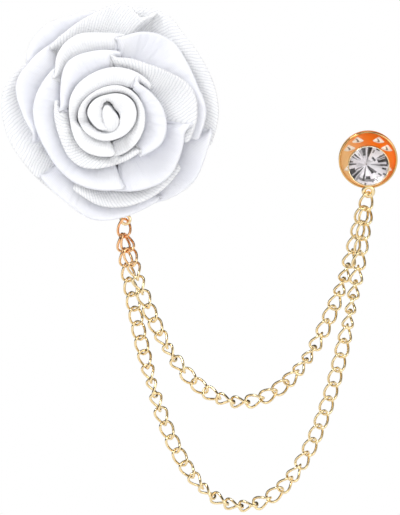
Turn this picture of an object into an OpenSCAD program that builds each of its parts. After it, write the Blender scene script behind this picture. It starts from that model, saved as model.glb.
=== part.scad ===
// Lapel chain: a folded ribbon rose brooch and a crystal stud pin, joined by two hanging chains.
// The origin is the middle of the bar pin behind the rose. +X is to the stud, +Z is up
// and -Y is towards the person who looks at it.

/* [Rose] */
// Radius of the open rose
rose_radius = 22.2; // [20:0.1:25]
// Depth from the back plate to the top of the bud
rose_depth = 17.5; // [16:0.5:20]
// Height of the outer rim above the back plate
rim_height = 6; // [5:0.5:7]
// Thickness of a folded ribbon wall
ribbon_wall = 1; // [0.9:0.05:1.05]
// Step from one ribbon layer to the next where they are sewn down
layer_step = 1.27; // [1.24:0.01:1.35]
// Radius of the rolled heart
heart_radius = 3.6; // [3.4:0.05:3.7]
// Gap between the heart and the ribbon round it
heart_gap = 0.13; // [0.1:0.01:0.2]

/* [Brooch back] */
// Radius of the plate that carries the rose
plate_radius = 12.5; // [11:0.5:14]
// Thickness of the plate
plate_thick = 0.8; // [0.6:0.1:1.2]
// Distance from the bar pin's axis to the plate
pin_standoff = 2.4; // [2:0.1:3]
// Diameter of the bar pin's wire
bar_pin_dia = 1; // [0.8:0.1:1.2]
// Length of the bar pin between its two feet
bar_pin_length = 18; // [14:0.5:20]
// Width of the strip that carries the eyelet
strap_width = 2.2; // [1.8:0.1:3]
// Wire of the eyelet that carries the chains
eyelet_wire = 0.6; // [0.5:0.05:0.7]
// Radius of the eyelet at the middle of its wire
eyelet_radius = 0.9; // [0.85:0.01:1]
// How far the eyelet's centre lies inside the rose's rim
eyelet_inset = 1; // [0.5:0.1:2]
// How far the eyelet lies to the right of the rose's centre
eyelet_side = 2.8; // [2:0.1:3.5]

/* [Chain] */
// Outer length of one twisted link
link_length = 4.15; // [4:0.05:4.4]
// Outer width of one link
link_width = 2.95; // [2.8:0.05:3.2]
// Diameter of the link's wire
link_wire = 0.45; // [0.4:0.01:0.47]
// How far the wire of a link rises and falls round its oval
link_twist = 0.7; // [0.65:0.01:0.8]
// Loose play between two links
link_play = 0.27; // [0.24:0.01:0.3]
// Number of links in the long chain
outer_links = 44; // [40:1:48]
// Number of links in the short chain
inner_links = 31; // [28:1:34]
// Depth between the two chains
chain_spread = 2.8; // [2.7:0.05:3.4]

/* [Stud] */
// Distance from the bar pin across to the stud
stud_across = 51.5; // [45:0.5:58]
// Distance of the stud below the bar pin
stud_drop = 10.5; // [6:0.1:16]
// How far the stud's face looks down
stud_tilt = 16; // [0:1:25]
// Radius of the stone's setting
cup_radius = 4.2; // [3.8:0.1:4.6]
// Depth of the setting
cup_depth = 3; // [2.8:0.1:3.4]
// Wall of the setting at its rim
cup_wall = 0.36; // [0.3:0.01:0.6]
// Gap between the stone and its setting
stone_gap = 0.1; // [0.08:0.01:0.15]
// Height of the stone's crown above the rim
crown_height = 1.1; // [0.8:0.1:1.4]
// Wire of the loop under the setting
loop_wire = 0.68; // [0.6:0.02:0.8]
// Radius of the loop at the middle of its wire
loop_radius = 0.95; // [0.9:0.01:1.1]
// Diameter of the pointed post
post_dia = 1; // [0.9:0.05:1.2]
// Length of the post behind the setting
post_length = 9.6; // [9:0.1:11]
// Length of the post's point
point_taper = 1.4; // [1:0.1:1.8]
// Radius left at the very tip
tip_radius = 0.1; // [0.05:0.01:0.15]
// Length of the free end between its step and the point
free_end = 2; // [1.8:0.05:2.2]
// Diameter of the free end, stepped down so that a clutch starts on it easily
free_dia = 0.66; // [0.56:0.02:0.68]

/* [Clutch] */
// Radius of the clutch's dish
clutch_radius = 5.93; // [5.4:0.01:6.5]
// Thickness of the dish
clutch_thick = 0.45; // [0.35:0.05:0.6]
// Height of the dish's raised rim
clutch_rim = 0.95; // [0.6:0.05:1.2]
// Distance from the setting's back to the dish
clutch_gap = 2.4; // [2:0.1:3]
// Running gap between the post and the clutch's bore
bore_gap = 0.05; // [0.03:0.01:0.08]
// Number of raised points in the dish
point_count = 8; // [4:2:12]
// Height of a raised point
point_height = 0.6; // [0.4:0.05:0.8]
// Depth of the clutch's grip behind the dish
grip_depth = 2.6; // [2.2:0.1:3.2]
// Radius of the clutch's grip
grip_radius = 2.1; // [1.8:0.1:2.6]
// Reach of each wing from the post
wing_reach = 5.2; // [4.5:0.1:5.4]

/* [Hidden] */
satin = "#f3f4fa";
grosgrain = "#e9eaee";
gold = "#e0b46c";
deep_gold = "#d98a2b";
crystal = "#cfd4dc";
touch_gap = 0.1;
round_steps = 64;

// The folds of one ribbon, wound inwards from the rim. The angle grows along the ribbon, a whole
// turn for each layer. Edge is the radius of the fold along its length, as shares of the rose's.
// Over is 1 where the fold starts outside the end of the fold before it, and 0 where it starts inside.
// Face is the side of the ribbon that shows: 0 satin, 1 grosgrain.
//  name, from, to, over, face, edge
FOLDS = [
    ["rim_upper_left",  -980, -928, 1, 0, [0.96, 0.97, 1.01, 0.985, 0.90]],
    ["rim_left",        -934, -848, 1, 1, [0.90, 1.01, 0.985, 0.925, 0.90]],
    ["rim_bottom",      -856, -782, 0, 0, [0.885, 0.92, 0.995, 0.96, 0.92]],
    ["rim_lower_right", -786, -732, 1, 0, [0.92, 0.965, 0.99, 0.96, 0.95]],
    ["rim_right",       -736, -643, 1, 1, [0.97, 0.99, 0.985, 0.975, 0.985, 1.045, 1.0]],
    ["rim_top",         -652, -589, 0, 1, [0.88, 1.01, 0.935, 0.87, 0.84]],
    ["upper_left",      -593, -521, 1, 0, [0.84, 0.88, 0.915, 0.815, 0.735]],
    ["lower",           -474, -400, 1, 1, [0.80, 0.865, 0.875, 0.86, 0.83]],
    ["upper_right",     -375, -276, 1, 0, [0.85, 0.88, 0.84, 0.845, 0.87, 0.81, 0.70]],
    ["top",             -280, -212, 1, 1, [0.735, 0.745, 0.785, 0.74, 0.615]],
    ["left",            -218,  -82, 1, 0, [0.67, 0.72, 0.695, 0.73, 0.72]],
    ["lower_right",      -88,  -10, 1, 0, [0.725, 0.77, 0.80, 0.75, 0.70]],
    ["right",            -19,   88, 1, 1, [0.775, 0.80, 0.785, 0.66, 0.57, 0.535, 0.51]],
    ["inner_top",         83,  178, 1, 0, [0.575, 0.595, 0.615, 0.52, 0.465]],
    ["inner_left",       170,  307, 1, 1, [0.53, 0.53, 0.58, 0.50, 0.465]],
    ["inner_right",      306,  411, 1, 0, [0.51, 0.56, 0.51, 0.43, 0.375]],
    ["bud_outer",        394,  634, 1, 1, [0.465, 0.435, 0.405, 0.405, 0.395, 0.44, 0.42]],
    ["bud_middle",       635,  913, 1, 1, [0.42, 0.345, 0.285, 0.25, 0.32]],
    ["bud_inner",        925, 1265, 1, 1, [0.315, 0.27, 0.252, 0.18, 0.23]]
];
FROM = 1;
TO = 2;
OVER = 3;
FACE = 4;
EDGE = 5;

// Angle over which an outer layer steps out to make room for the end of an inner one
tuck_ramp = 34;
// Steps along a short fold and along one that goes more than half round, and steps up the wall
short_steps = 12;
long_steps = 20;
lobe_steps = 14;
wall_steps = 4;
// How far an edge sinks below the edge inside it where both lie at one radius
tuck_sink = 1.6;
// Distance between two edges from which the outer one no longer sinks
clear_edge = 2.4;

// A wall's middle line is one curve from its foot to its edge, with two control points. The first
// stands over the foot and the second further out, at these shares of the height and of the flare.
low_control = 0.6;
high_control = 0.98;
flare_start = 0.55;
// How much of a wall's thickness is left where its edge begins to round
edge_share = 0.8;
// The rose's dome falls by this power of the radius, and no further than a little past the rim
dome_power = 1.6;
dome_reach = 1.1;

// The heart: the ribbon rolls over the top and down the left, and its end stands as a tongue in the
// middle. Both lobes are rolled round a centre of their own. Lengths are shares of the heart's, and
// stretch is how much longer a lobe is up and down than across.
//  from, to, radius, wall, height, x, z, stretch
LOBES = [
    [-35, 225, 0.70, 0.53, 0.99, 0, 0, 1],
    [100, 440, 0.17, 0.26, 1.0, 0.03, -0.22, 2]
];
// Where the heart's centre lies, across and up
heart_share = [0.056, -0.208];

// How far each chain is turned on its own run: share of the length, angle from open
OUTER_ROLL = [[0, -33], [0.05, -25], [0.17, 5], [0.24, 75], [0.30, 15], [0.36, 5], [0.42, 75],
    [0.45, 50], [0.48, 75], [0.54, 10], [0.57, 50], [0.62, 10], [0.78, 10], [0.84, 75], [0.87, 65],
    [0.94, 10], [1, 10]];
INNER_ROLL = [[0, -40], [0.05, 10], [0.10, 60], [0.16, 15], [0.20, 10], [0.27, 75], [0.34, 10], [0.38, 10],
    [0.45, 75], [0.50, 35], [0.56, 10], [0.65, 75], [0.73, 20], [0.76, 15], [0.84, 75], [0.93, 10], [1, 8]];
link_steps = 12;
wire_sides = 5;

fold_count = len(FOLDS);
turns = floor((FOLDS[fold_count - 1][TO] - FOLDS[0][FROM]) / 360);
plate_front = pin_standoff + plate_thick;
rose_foot = plate_front + touch_gap;
heart_centre = heart_radius * heart_share;
// The first layer clears the side of the heart that lies furthest out
first_layer = heart_radius + norm(heart_centre) + heart_gap + ribbon_wall / 2;

link_half = [(link_length - link_wire) / 2, (link_width - link_wire) / 2, link_twist];
link_pitch = link_length - 2 * link_wire - link_play;
link_overlap = 2 * link_half[0] - link_pitch;

eyelet_centre = [eyelet_side, -pin_standoff - plate_thick / 2, -(rose_radius - eyelet_inset)];
// The ring that joins both chains to the eyelet leans forward as it hangs
left_ring_aim = [-0.12, -0.14, -0.98];
left_ring_roll = -10;
left_ring_top = eyelet_centre + [0, 0, touch_gap];
left_ring_end = left_ring_top + 2 * link_half[0] * unit(left_ring_aim);
left_hook = left_ring_end - link_overlap / 2 * unit(left_ring_aim);
chain_plane = left_hook[1];

loop_depth = cup_depth / 3;
loop_drop = cup_radius + loop_radius + loop_wire / 2 + touch_gap;
function stud_turn(p) = [
    p[0],
    p[1] * cos(stud_tilt) - p[2] * sin(stud_tilt),
    p[1] * sin(stud_tilt) + p[2] * cos(stud_tilt)
];
// The loop under the setting lies in the plane in which the chains hang
stud_centre = [stud_across, chain_plane - stud_turn([0, loop_depth, -loop_drop])[1], -stud_drop];
loop_centre = stud_centre + stud_turn([0, loop_depth, -loop_drop]);
right_ring_aim = [-0.2, 0.13, -0.97];
right_ring_roll = -18;
right_ring_top = loop_centre - [0, 0, touch_gap];
right_ring_end = right_ring_top + 2 * link_half[0] * unit(right_ring_aim);
right_hook = right_ring_end - link_overlap / 2 * unit(right_ring_aim);
// Both chains hang in one ring, side by side on its slanting wire. They part in depth over a few
// links. The slant puts the long chain behind at the left and in front at the right, so they
// change places in depth over the middle, where they are far apart.
hook_space = 0.38;
left_hook_step = hook_space * ring_slant(left_ring_aim, left_ring_roll);
right_hook_step = hook_space * ring_slant(right_ring_aim, right_ring_roll);
part_run = 2.5;
swap_span = 0.5;
// Limits between which the hanging curve's bottom radius is sought, and how closely
hang_low = 1;
hang_high = 400;
hang_accuracy = 0.000001;

dish_front = cup_depth + clutch_gap;
dish_back = dish_front + clutch_thick;
grip_front = dish_back + touch_gap;
bore_radius = post_dia / 2 + bore_gap;
point_radius = 0.72 * clutch_radius;
point_width = 0.36 * clutch_radius;
point_long = 0.25 * clutch_radius;
// The points stand in pairs: turn of the first pair, and of each point from the pair's middle
first_pair = 46;
pair_half = 16;

function unit(v) = v / norm(v);
function limit(x, low, high) = min(high, max(low, x));
function total(list) = list * [for (x = list) 1];
function polar(radius, angle) = [radius * cos(angle), radius * sin(angle)];

// A value along a list of even samples, on a smooth curve through them
function smooth(list, share) =
    let (
        last = len(list) - 1,
        place = limit(share, 0, 1) * last,
        i = min(floor(place), last - 1),
        t = place - i,
        p0 = list[max(i - 1, 0)],
        p1 = list[i],
        p2 = list[i + 1],
        p3 = list[min(i + 2, last)]
    )
    p1 + t / 2 * (p2 - p0 + t * (2 * p0 - 5 * p1 + 4 * p2 - p3 + t * (3 * (p1 - p2) + p3 - p0)));

// How much of a layer fold k puts at an angle: 1 over its length, fading out past its ends
function cover(k, angle) =
    limit((angle - FOLDS[k][FROM]) / tuck_ramp + 1, 0, 1)
    * limit((FOLDS[k][TO] - angle) / tuck_ramp + 1, 0, 1);

// Layers that lie inside fold k at an angle: every later turn, and the tucked end of its neighbour
function layers_inside(k, angle) =
    total([for (turn = [1:turns]) for (j = [0:fold_count - 1]) cover(j, angle + 360 * turn)])
    + neighbour_inside(k, angle);
function neighbour_inside(k, angle) =
    (k > 0 && FOLDS[k][OVER] == 1 ? cover(k - 1, angle) : 0)
    + (k < fold_count - 1 && FOLDS[k + 1][OVER] == 0 ? cover(k + 1, angle) : 0);

function base_radius(k, angle) = first_layer + layer_step * layers_inside(k, angle);
function edge_radius(k, angle) =
    rose_radius * smooth(FOLDS[k][EDGE], (angle - FOLDS[k][FROM]) / (FOLDS[k][TO] - FOLDS[k][FROM]));
function dome(radius) =
    rim_height + (rose_depth - rim_height) * (1 - pow(min(radius / rose_radius, dome_reach), dome_power));

// Whether fold j at a later turn, or beside fold k in the same turn, lies inside fold k
function is_inside(j, k, turn) =
    turn > 0 || (j == k - 1 && FOLDS[k][OVER] == 1) || (j == k + 1 && FOLDS[j][OVER] == 0);

// Height of a fold's edge: on the rose's dome, but lower where it comes near an edge inside it
function edge_height(k, angle) =
    let (
        edge = edge_radius(k, angle),
        own = dome(edge),
        lowered = [for (turn = [0, 1]) for (j = [0:fold_count - 1])
            let (share = is_inside(j, k, turn) ? cover(j, angle + 360 * turn) : 0)
            if (share > 0)
                let (
                    space = edge - edge_radius(j, angle + 360 * turn),
                    room = edge_height(j, angle + 360 * turn) - tuck_sink * (1 - space / clear_edge)
                )
                own - share * max(0, own - room)]
    )
    min(concat([own], lowered));

// A wall's middle line at one place: up from its foot, then out to its folded edge
function wall_line(foot, tip, height) =
    let (flare = tip - foot)
    [for (i = [0:wall_steps])
        let (u = i / wall_steps, v = 1 - u)
        [foot + flare * (3 * v * u * u * flare_start + u * u * u),
         height * (3 * v * v * u * low_control + 3 * v * u * u * high_control + u * u * u)]];

// The closed section round a middle line, with a rounded edge at its tip
function wall_section(line, wall) =
    let (
        last = len(line) - 1,
        along = [for (i = [0:last]) unit(line[min(i + 1, last)] - line[max(i - 1, 0)])],
        side = [for (i = [0:last]) i == 0 ? [1, 0] : [along[i][1], -along[i][0]]]
    )
    concat(
        [for (i = [0:last]) line[i] - side[i] * wall / 2 * (i == last ? edge_share : 1)],
        [line[last] + along[last] * wall / 2],
        [for (i = [last:-1:0]) line[i] + side[i] * wall / 2 * (i == last ? edge_share : 1)]
    );

// Triangles of a strip of closed sections, capped at both ends
function strip_faces(rows, sides) = concat(
    [for (i = [0:rows - 2]) for (j = [0:sides - 1]) each
        let (a = i * sides + j, b = i * sides + (j + 1) % sides)
        [[a, b + sides, b], [a, a + sides, b + sides]]],
    cap_faces(0, sides, true),
    cap_faces((rows - 1) * sides, sides, false)
);

// Triangles across one end of a wall, as rungs between its inner and outer side
function cap_faces(first, sides, far) =
    let (half = (sides - 1) / 2, one = [for (i = [0:half - 2]) each
        [[i, i + 1, sides - 2 - i], [i, sides - 2 - i, sides - 1 - i]]])
    [for (f = concat(one, [[half - 1, half, half + 1]]))
        [first, first, first] + (far ? f : [f[0], f[2], f[1]])];

// A wall of ribbon round the rose's axis. Each section is a list of [radius, height] at its angle.
module ribbon(sections, angles, centre = [0, 0], stretch = 1) {
    sides = len(sections[0]);
    points = [for (i = [0:len(angles) - 1]) for (p = sections[i])
        let (at = polar(p[0], angles[i]))
        [at[0] + centre[0], -rose_foot - p[1], at[1] * stretch + centre[1]]];
    polyhedron(points, strip_faces(len(angles), sides), convexity = 10);
}

module heart_lobe(k) {
    lobe = LOBES[k];
    wall = lobe[3] * heart_radius;
    radius = lobe[2] * heart_radius;
    angles = [for (i = [0:lobe_steps]) lobe[0] + (lobe[1] - lobe[0]) * i / lobe_steps];
    sections = [for (angle = angles)
        wall_section(wall_line(radius, radius, lobe[4] * rose_depth - wall / 2), wall)];
    color(satin) ribbon(sections, angles, heart_centre + heart_radius * [lobe[5], lobe[6]], lobe[7]);
}

module fold(k) {
    row = FOLDS[k];
    steps = row[TO] - row[FROM] > 180 ? long_steps : short_steps;
    angles = [for (i = [0:steps]) row[FROM] + (row[TO] - row[FROM]) * i / steps];
    sections = [for (angle = angles)
        let (tip = edge_radius(k, angle) - ribbon_wall / 2)
        wall_section(wall_line(base_radius(k, angle), tip, edge_height(k, angle)), ribbon_wall)];
    color(row[FACE] == 0 ? satin : grosgrain) ribbon(sections, angles);
}

// One ring of wire on a twisted oval, as points about its own centre
function link_points() = [for (i = [0:link_steps - 1])
    let (
        t = 360 * i / link_steps,
        a = link_half[0],
        b = link_half[1],
        c = link_half[2],
        run = unit([-a * sin(t), b * cos(t), 2 * c * cos(2 * t)]),
        flat_out = [cos(t) / a, sin(t) / b, 0],
        out = unit(flat_out - (flat_out * run) * run),
        up = cross(run, out)
    )
    for (j = [0:wire_sides - 1])
        let (r = polar(link_wire / 2, 360 * j / wire_sides))
        [a * cos(t), b * sin(t), c * sin(2 * t)] + r[0] * out + r[1] * up];

function link_faces() = [for (i = [0:link_steps - 1]) for (j = [0:wire_sides - 1]) each
    let (
        a = i * wire_sides + j,
        b = i * wire_sides + (j + 1) % wire_sides,
        c = ((i + 1) % link_steps) * wire_sides + (j + 1) % wire_sides,
        d = ((i + 1) % link_steps) * wire_sides + j
    )
    [[a, c, b], [a, d, c]]];

// A link's place is its centre, the way it runs and how far it is turned about that run
function link_frame(run, roll) =
    let (
        along = unit(run),
        deep = unit([0, 1, 0] - along[1] * along),
        flat = cross(deep, along)
    )
    [along, cos(roll) * flat + sin(roll) * deep, cos(roll) * deep - sin(roll) * flat];

// The way the wire runs across the lower end of a ring
function ring_slant(aim, roll) = unit([0, link_half[1], 2 * link_half[2]] * link_frame(aim, roll));

module links(places) {
    ring = link_points();
    faces = link_faces();
    points = [for (place = places)
        let (axes = link_frame(place[1], place[2]))
        for (p = ring) place[0] + p * axes];
    all_faces = [for (k = [0:len(places) - 1]) for (f = faces) f + [1, 1, 1] * k * len(ring)];
    polyhedron(points, all_faces, convexity = 10);
}

module one_link(top, aim, roll) {
    color(gold) links([[top + link_half[0] * unit(aim), aim, roll]]);
}

function sinh(x) = (exp(x) - exp(-x)) / 2;
function cosh(x) = (exp(x) + exp(-x)) / 2;
function arsinh(x) = ln(x + sqrt(x * x + 1));
function artanh(x) = ln((1 + x) / (1 - x)) / 2;

// The radius at the bottom of the hanging curve, halved down to the one that fits its length
function hang_radius(span, stretch, low, high) =
    let (middle = (low + high) / 2)
    high - low < hang_accuracy ? middle
    : 2 * middle * sinh(span / (2 * middle)) > stretch
        ? hang_radius(span, stretch, middle, high)
        : hang_radius(span, stretch, low, middle);

// A chain of links on the curve in which it hangs between two hooks
module hung_chain(start, end, count, rolls, side) {
    chain_length = count * link_pitch;
    span = end[0] - start[0];
    rise = end[2] - start[2];
    stretch = sqrt(chain_length * chain_length - rise * rise);
    a = hang_radius(span, stretch, hang_low, hang_high);
    low_x = (start[0] + end[0]) / 2 - a * artanh(rise / chain_length);
    low_z = start[2] - a * (cosh((start[0] - low_x) / a) - 1);
    first = a * sinh((start[0] - low_x) / a);
    joins = [for (i = [0:count])
        let (
            s = first + link_pitch * i,
            share = i / count,
            parted = min(min(i, count - i) / part_run, 1),
            lean = limit((0.5 - share) / (swap_span / 2), -1, 1),
            y = start[1] + (end[1] - start[1]) * share + side * lean * parted * chain_spread / 2
        )
        [low_x + a * arsinh(s / a), y, low_z + sqrt(a * a + s * s) - a]];
    places = [for (i = [0:count - 1])
        [(joins[i] + joins[i + 1]) / 2, joins[i + 1] - joins[i], lookup((i + 0.5) / count, rolls)]];
    color(gold) links(places);
}

module outer_chain() {
    hung_chain(left_hook + left_hook_step, right_hook - right_hook_step, outer_links, OUTER_ROLL, 1);
}

module inner_chain() {
    hung_chain(left_hook - left_hook_step, right_hook + right_hook_step, inner_links, INNER_ROLL, -1);
}

module left_ring() {
    one_link(left_ring_top, left_ring_aim, left_ring_roll);
}

module right_ring() {
    one_link(right_ring_top, right_ring_aim, right_ring_roll);
}

// A round wire ring that faces the viewer
module wire_ring(radius, wire) {
    rotate([90, 0, 0])
        rotate_extrude($fn = round_steps)
            translate([radius, 0])
                circle(d = wire, $fn = 24);
}

// A round bar along Y, from front to back
module bar_y(radius, from, to) {
    translate([0, from, 0])
        rotate([-90, 0, 0])
            cylinder(r = radius, h = to - from, $fn = round_steps);
}

// Plate, bar pin with its two feet, and the strap with its eyelet, soldered into one
module brooch_back() {
    foot_size = 2 * bar_pin_dia;
    foot_reach = pin_standoff + plate_thick / 2;
    strap_length = -eyelet_centre[2] - eyelet_radius - plate_radius + strap_width / 2;
    color(gold) union() {
        bar_y(plate_radius, -plate_front, -pin_standoff);
        rotate([0, 90, 0])
            cylinder(d = bar_pin_dia, h = bar_pin_length + foot_size, center = true, $fn = round_steps);
        for (end = [-1, 1])
            translate([end * bar_pin_length / 2 - foot_size / 2, -foot_reach, -foot_size / 2])
                cube([foot_size, foot_reach + bar_pin_dia, foot_size]);
        translate([eyelet_side - strap_width / 2, -plate_front, eyelet_centre[2] + eyelet_radius])
            cube([strap_width, plate_thick, strap_length]);
        translate(eyelet_centre) wire_ring(eyelet_radius, eyelet_wire);
    }
}

// Everything on the stud is drawn about the middle of its rim, with the post along +Y
module on_stud() {
    translate(stud_centre) rotate([stud_tilt, 0, 0]) children();
}

module stud_setting() {
    seat = cup_radius - cup_wall;
    floor_depth = cup_depth - cup_wall;
    back_radius = 0.86 * cup_radius;
    free_start = cup_depth + post_length - point_taper - free_end;
    color(gold) on_stud() union() {
        rotate([-90, 0, 0]) rotate_extrude($fn = round_steps) polygon([
            [0, floor_depth], [post_dia, floor_depth], [seat, cup_wall], [seat, 0],
            [cup_radius - cup_wall / 2, 0], [cup_radius, cup_wall / 2], [cup_radius, cup_wall],
            [back_radius, cup_depth], [0, cup_depth]]);
        bar_y(post_dia / 2, cup_depth - cup_wall / 2, free_start);
        bar_y(free_dia / 2, free_start, free_start + free_end);
        translate([0, free_start + free_end, 0])
            rotate([-90, 0, 0])
                cylinder(r1 = free_dia / 2, r2 = tip_radius, h = point_taper, $fn = round_steps);
        translate([0, loop_depth, -loop_drop]) wire_ring(loop_radius, loop_wire);
        translate([0, loop_depth, -loop_drop + loop_radius])
            cylinder(d = loop_wire, h = loop_drop - loop_radius - cup_radius + 2 * cup_wall, $fn = 24);
    }
}

// A round cut stone: eight-sided table, sixteen-sided girdle, and a point hidden in the setting
module stone() {
    girdle = cup_radius - cup_wall - stone_gap;
    table = 0.52 * girdle;
    sheet = 0.05;
    color(crystal) on_stud() rotate([90, 0, 0]) hull() {
        rotate([0, 0, 22.5]) cylinder(r = table, h = crown_height, $fn = 8);
        cylinder(r = girdle, h = sheet, $fn = 16);
        translate([0, 0, stone_gap - cup_wall]) cylinder(r = girdle, h = sheet, $fn = 16);
        translate([0, 0, cup_wall - cup_depth + 2.5 * stone_gap])
            cylinder(d = post_dia, h = sheet, $fn = 8);
    }
}

// A low point pressed up in the dish, wide towards the post
module raised_point() {
    foot = clutch_thick / 2;
    polyhedron(
        [[-point_long / 2, foot, -point_width / 2], [-point_long / 2, foot, point_width / 2],
         [point_long / 2, foot, 0], [-point_long / 8, -point_height, 0]],
        [[0, 2, 1], [0, 1, 3], [1, 2, 3], [2, 0, 3]]);
}

module clutch_dish() {
    lip = clutch_thick * 0.8;
    color(deep_gold) on_stud() difference() {
        union() {
            rotate([-90, 0, 0]) rotate_extrude($fn = round_steps) polygon([
                [0, dish_front], [clutch_radius - 2 * lip, dish_front],
                [clutch_radius - lip, dish_front - clutch_rim], [clutch_radius, dish_front - clutch_rim],
                [clutch_radius, dish_front], [clutch_radius - lip, dish_back], [0, dish_back]]);
            for (pair = [0:point_count / 2 - 1])
                for (half = [-pair_half, pair_half])
                    rotate([0, -(first_pair + pair * 720 / point_count + half), 0])
                        translate([point_radius, dish_front, 0])
                            raised_point();
        }
        bar_y(bore_radius, dish_front - clutch_rim, dish_back + 1);
    }
}

// The grip behind the dish with its two pressing wings, plain because the lapel hides it
module clutch_wings() {
    wing_width = 1.6 * grip_radius;
    color(deep_gold) on_stud() difference() {
        union() {
            bar_y(grip_radius, grip_front, grip_front + grip_depth);
            translate([-wing_reach, grip_front + grip_depth / 2, -wing_width / 2])
                cube([2 * wing_reach, 2 * clutch_thick, wing_width]);
        }
        bar_y(bore_radius, grip_front - 1, grip_front + grip_depth + 1);
    }
}

heart_lobe(0);  // heart_lobe_1
heart_lobe(1);  // heart_lobe_2
for (k = [0:fold_count - 1])
    fold(k);
brooch_back();
left_ring();
outer_chain();
inner_chain();
right_ring();
stud_setting();
stone();
clutch_dish();
clutch_wings();
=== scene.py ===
# %% [markdown]
# # A ribbon rose on two chains
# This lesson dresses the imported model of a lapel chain: a rose folded from satin ribbon, two gold
# chains of twisted links, and a crystal stud with its pinched clutch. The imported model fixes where
# everything is, so the first cell loads it and notes its box. Blender works in metres, while sizes
# here are millimetres, so MM turns one into the other.

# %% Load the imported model
from functools import lru_cache, partial
from math import asinh, atanh, ceil, cos, cosh, floor, pi, radians, sin, sinh, sqrt, tau

import bmesh
import bpy
import numpy as np
from mathutils import Matrix, Vector, noise


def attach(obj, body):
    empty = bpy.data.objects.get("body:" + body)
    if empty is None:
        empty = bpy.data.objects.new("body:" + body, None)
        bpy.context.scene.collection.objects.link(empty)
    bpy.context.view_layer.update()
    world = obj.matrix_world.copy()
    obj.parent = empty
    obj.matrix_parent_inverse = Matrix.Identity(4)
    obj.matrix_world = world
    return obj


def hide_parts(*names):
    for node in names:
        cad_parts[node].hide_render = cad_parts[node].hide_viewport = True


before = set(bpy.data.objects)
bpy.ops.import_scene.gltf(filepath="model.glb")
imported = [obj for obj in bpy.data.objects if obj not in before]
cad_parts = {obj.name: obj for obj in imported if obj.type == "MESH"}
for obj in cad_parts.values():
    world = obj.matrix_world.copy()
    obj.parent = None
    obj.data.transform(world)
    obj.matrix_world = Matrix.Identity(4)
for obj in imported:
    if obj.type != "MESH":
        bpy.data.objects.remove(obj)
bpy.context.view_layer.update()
MM = 0.001

# %% [markdown]
# ## Helpers for meshes
# Every piece ends as a plain mesh at the origin, with its place in its points, because the export
# puts every object there. One helper puts a new object in the scene, and another makes a smooth mesh
# from points in millimetres.

# %% Mesh helpers
def unit(v):
    v = np.asarray(v, float)
    return v / np.linalg.norm(v)


def limit(x, low, high):
    return min(high, max(low, x))


def metres(points_mm):
    return [tuple(float(c) * MM for c in p) for p in points_mm]


def put(name, data):
    """A new object in the scene."""
    obj = bpy.data.objects.new(name, data)
    bpy.context.scene.collection.objects.link(obj)
    return obj


def piece(name, points_mm, faces, material, smooth=True):
    """A mesh object from points in millimetres."""
    mesh = bpy.data.meshes.new(name)
    mesh.from_pydata(metres(points_mm), [], faces)
    mesh.materials.append(material)
    mesh.shade_smooth() if smooth else mesh.shade_flat()
    mesh.update()
    return put(name, mesh)


print("a direction of length 1:", unit([3, 0, 4]))

# %% [markdown]
# ## Helpers for nodes
# Nodes could be placed by hand, one line for each and one for each wire. These helpers add a node
# with its settings and its wires, so that a material or a tree reads as a short list of what it is
# made of. A group names its own sockets, so that each material can set them.

# %% Node helpers
def feed(tree, node, inputs):
    """inputs maps the node's sockets to a value, or to the socket that feeds them."""
    for key, value in inputs.items():
        if isinstance(value, bpy.types.NodeSocket):
            tree.links.new(value, node.inputs[key])
        else:
            node.inputs[key].default_value = value


def add(tree, kind, inputs=None, **settings):
    """A new node with its settings and inputs."""
    node = tree.nodes.new(kind)
    for key, value in settings.items():
        setattr(node, key, value)
    feed(tree, node, inputs or {})
    return node


def math(tree, operation, a, b=0.0, c=0.0):
    """The result of one Math node."""
    return add(tree, "ShaderNodeMath", {0: a, 1: b, 2: c}, operation=operation).outputs[0]


REAL, WHOLE, SHAPE, METAL = (f"NodeSocket{kind}" for kind in ("Float", "Int", "Geometry", "Material"))


def new_group(name, kind, inputs, outputs):
    """A node group and what it is given. Its sockets are rows of name, type and default."""
    tree = bpy.data.node_groups.new(name, kind)
    for way, rows in (("INPUT", inputs), ("OUTPUT", outputs)):
        for label, socket_type, *default in rows:
            socket = tree.interface.new_socket(name=label, in_out=way, socket_type=socket_type)
            if default:
                socket.default_value = default[0]
    return tree, add(tree, "NodeGroupInput").outputs


print("socket types:", REAL, WHOLE, SHAPE, METAL)

# %% [markdown]
# ## The weave of the ribbon
# One side of the ribbon is smooth satin. The other is ribbed: cords run across it, bound by fine
# threads along it. A bump from the piece's own UV map follows the cloth round each fold, which a
# picture on flat axes would not. The UV map holds millimetres along the ribbon and up it, so the
# pitch of a rib is a real size. The group puts out a height for the bump, a mask of the grooves where
# the materials paint shade, and soft creases that run up the ribbon, as folding and sewing leave them.

# %% Node group: ribbon weave
def vector(tree, operation, a, b):
    """The result of one Vector Math node, which is a number for two of the operations."""
    node = add(tree, "ShaderNodeVectorMath", {0: a, 1: b}, operation=operation)
    return node.outputs["Value" if operation in ("DOT_PRODUCT", "DISTANCE") else "Vector"]


def cloud(tree, place, scale, detail):
    """A soft noise."""
    inputs = {"Vector": place, "Scale": scale, "Detail": detail}
    return add(tree, "ShaderNodeTexNoise", inputs).outputs[0]


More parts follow.
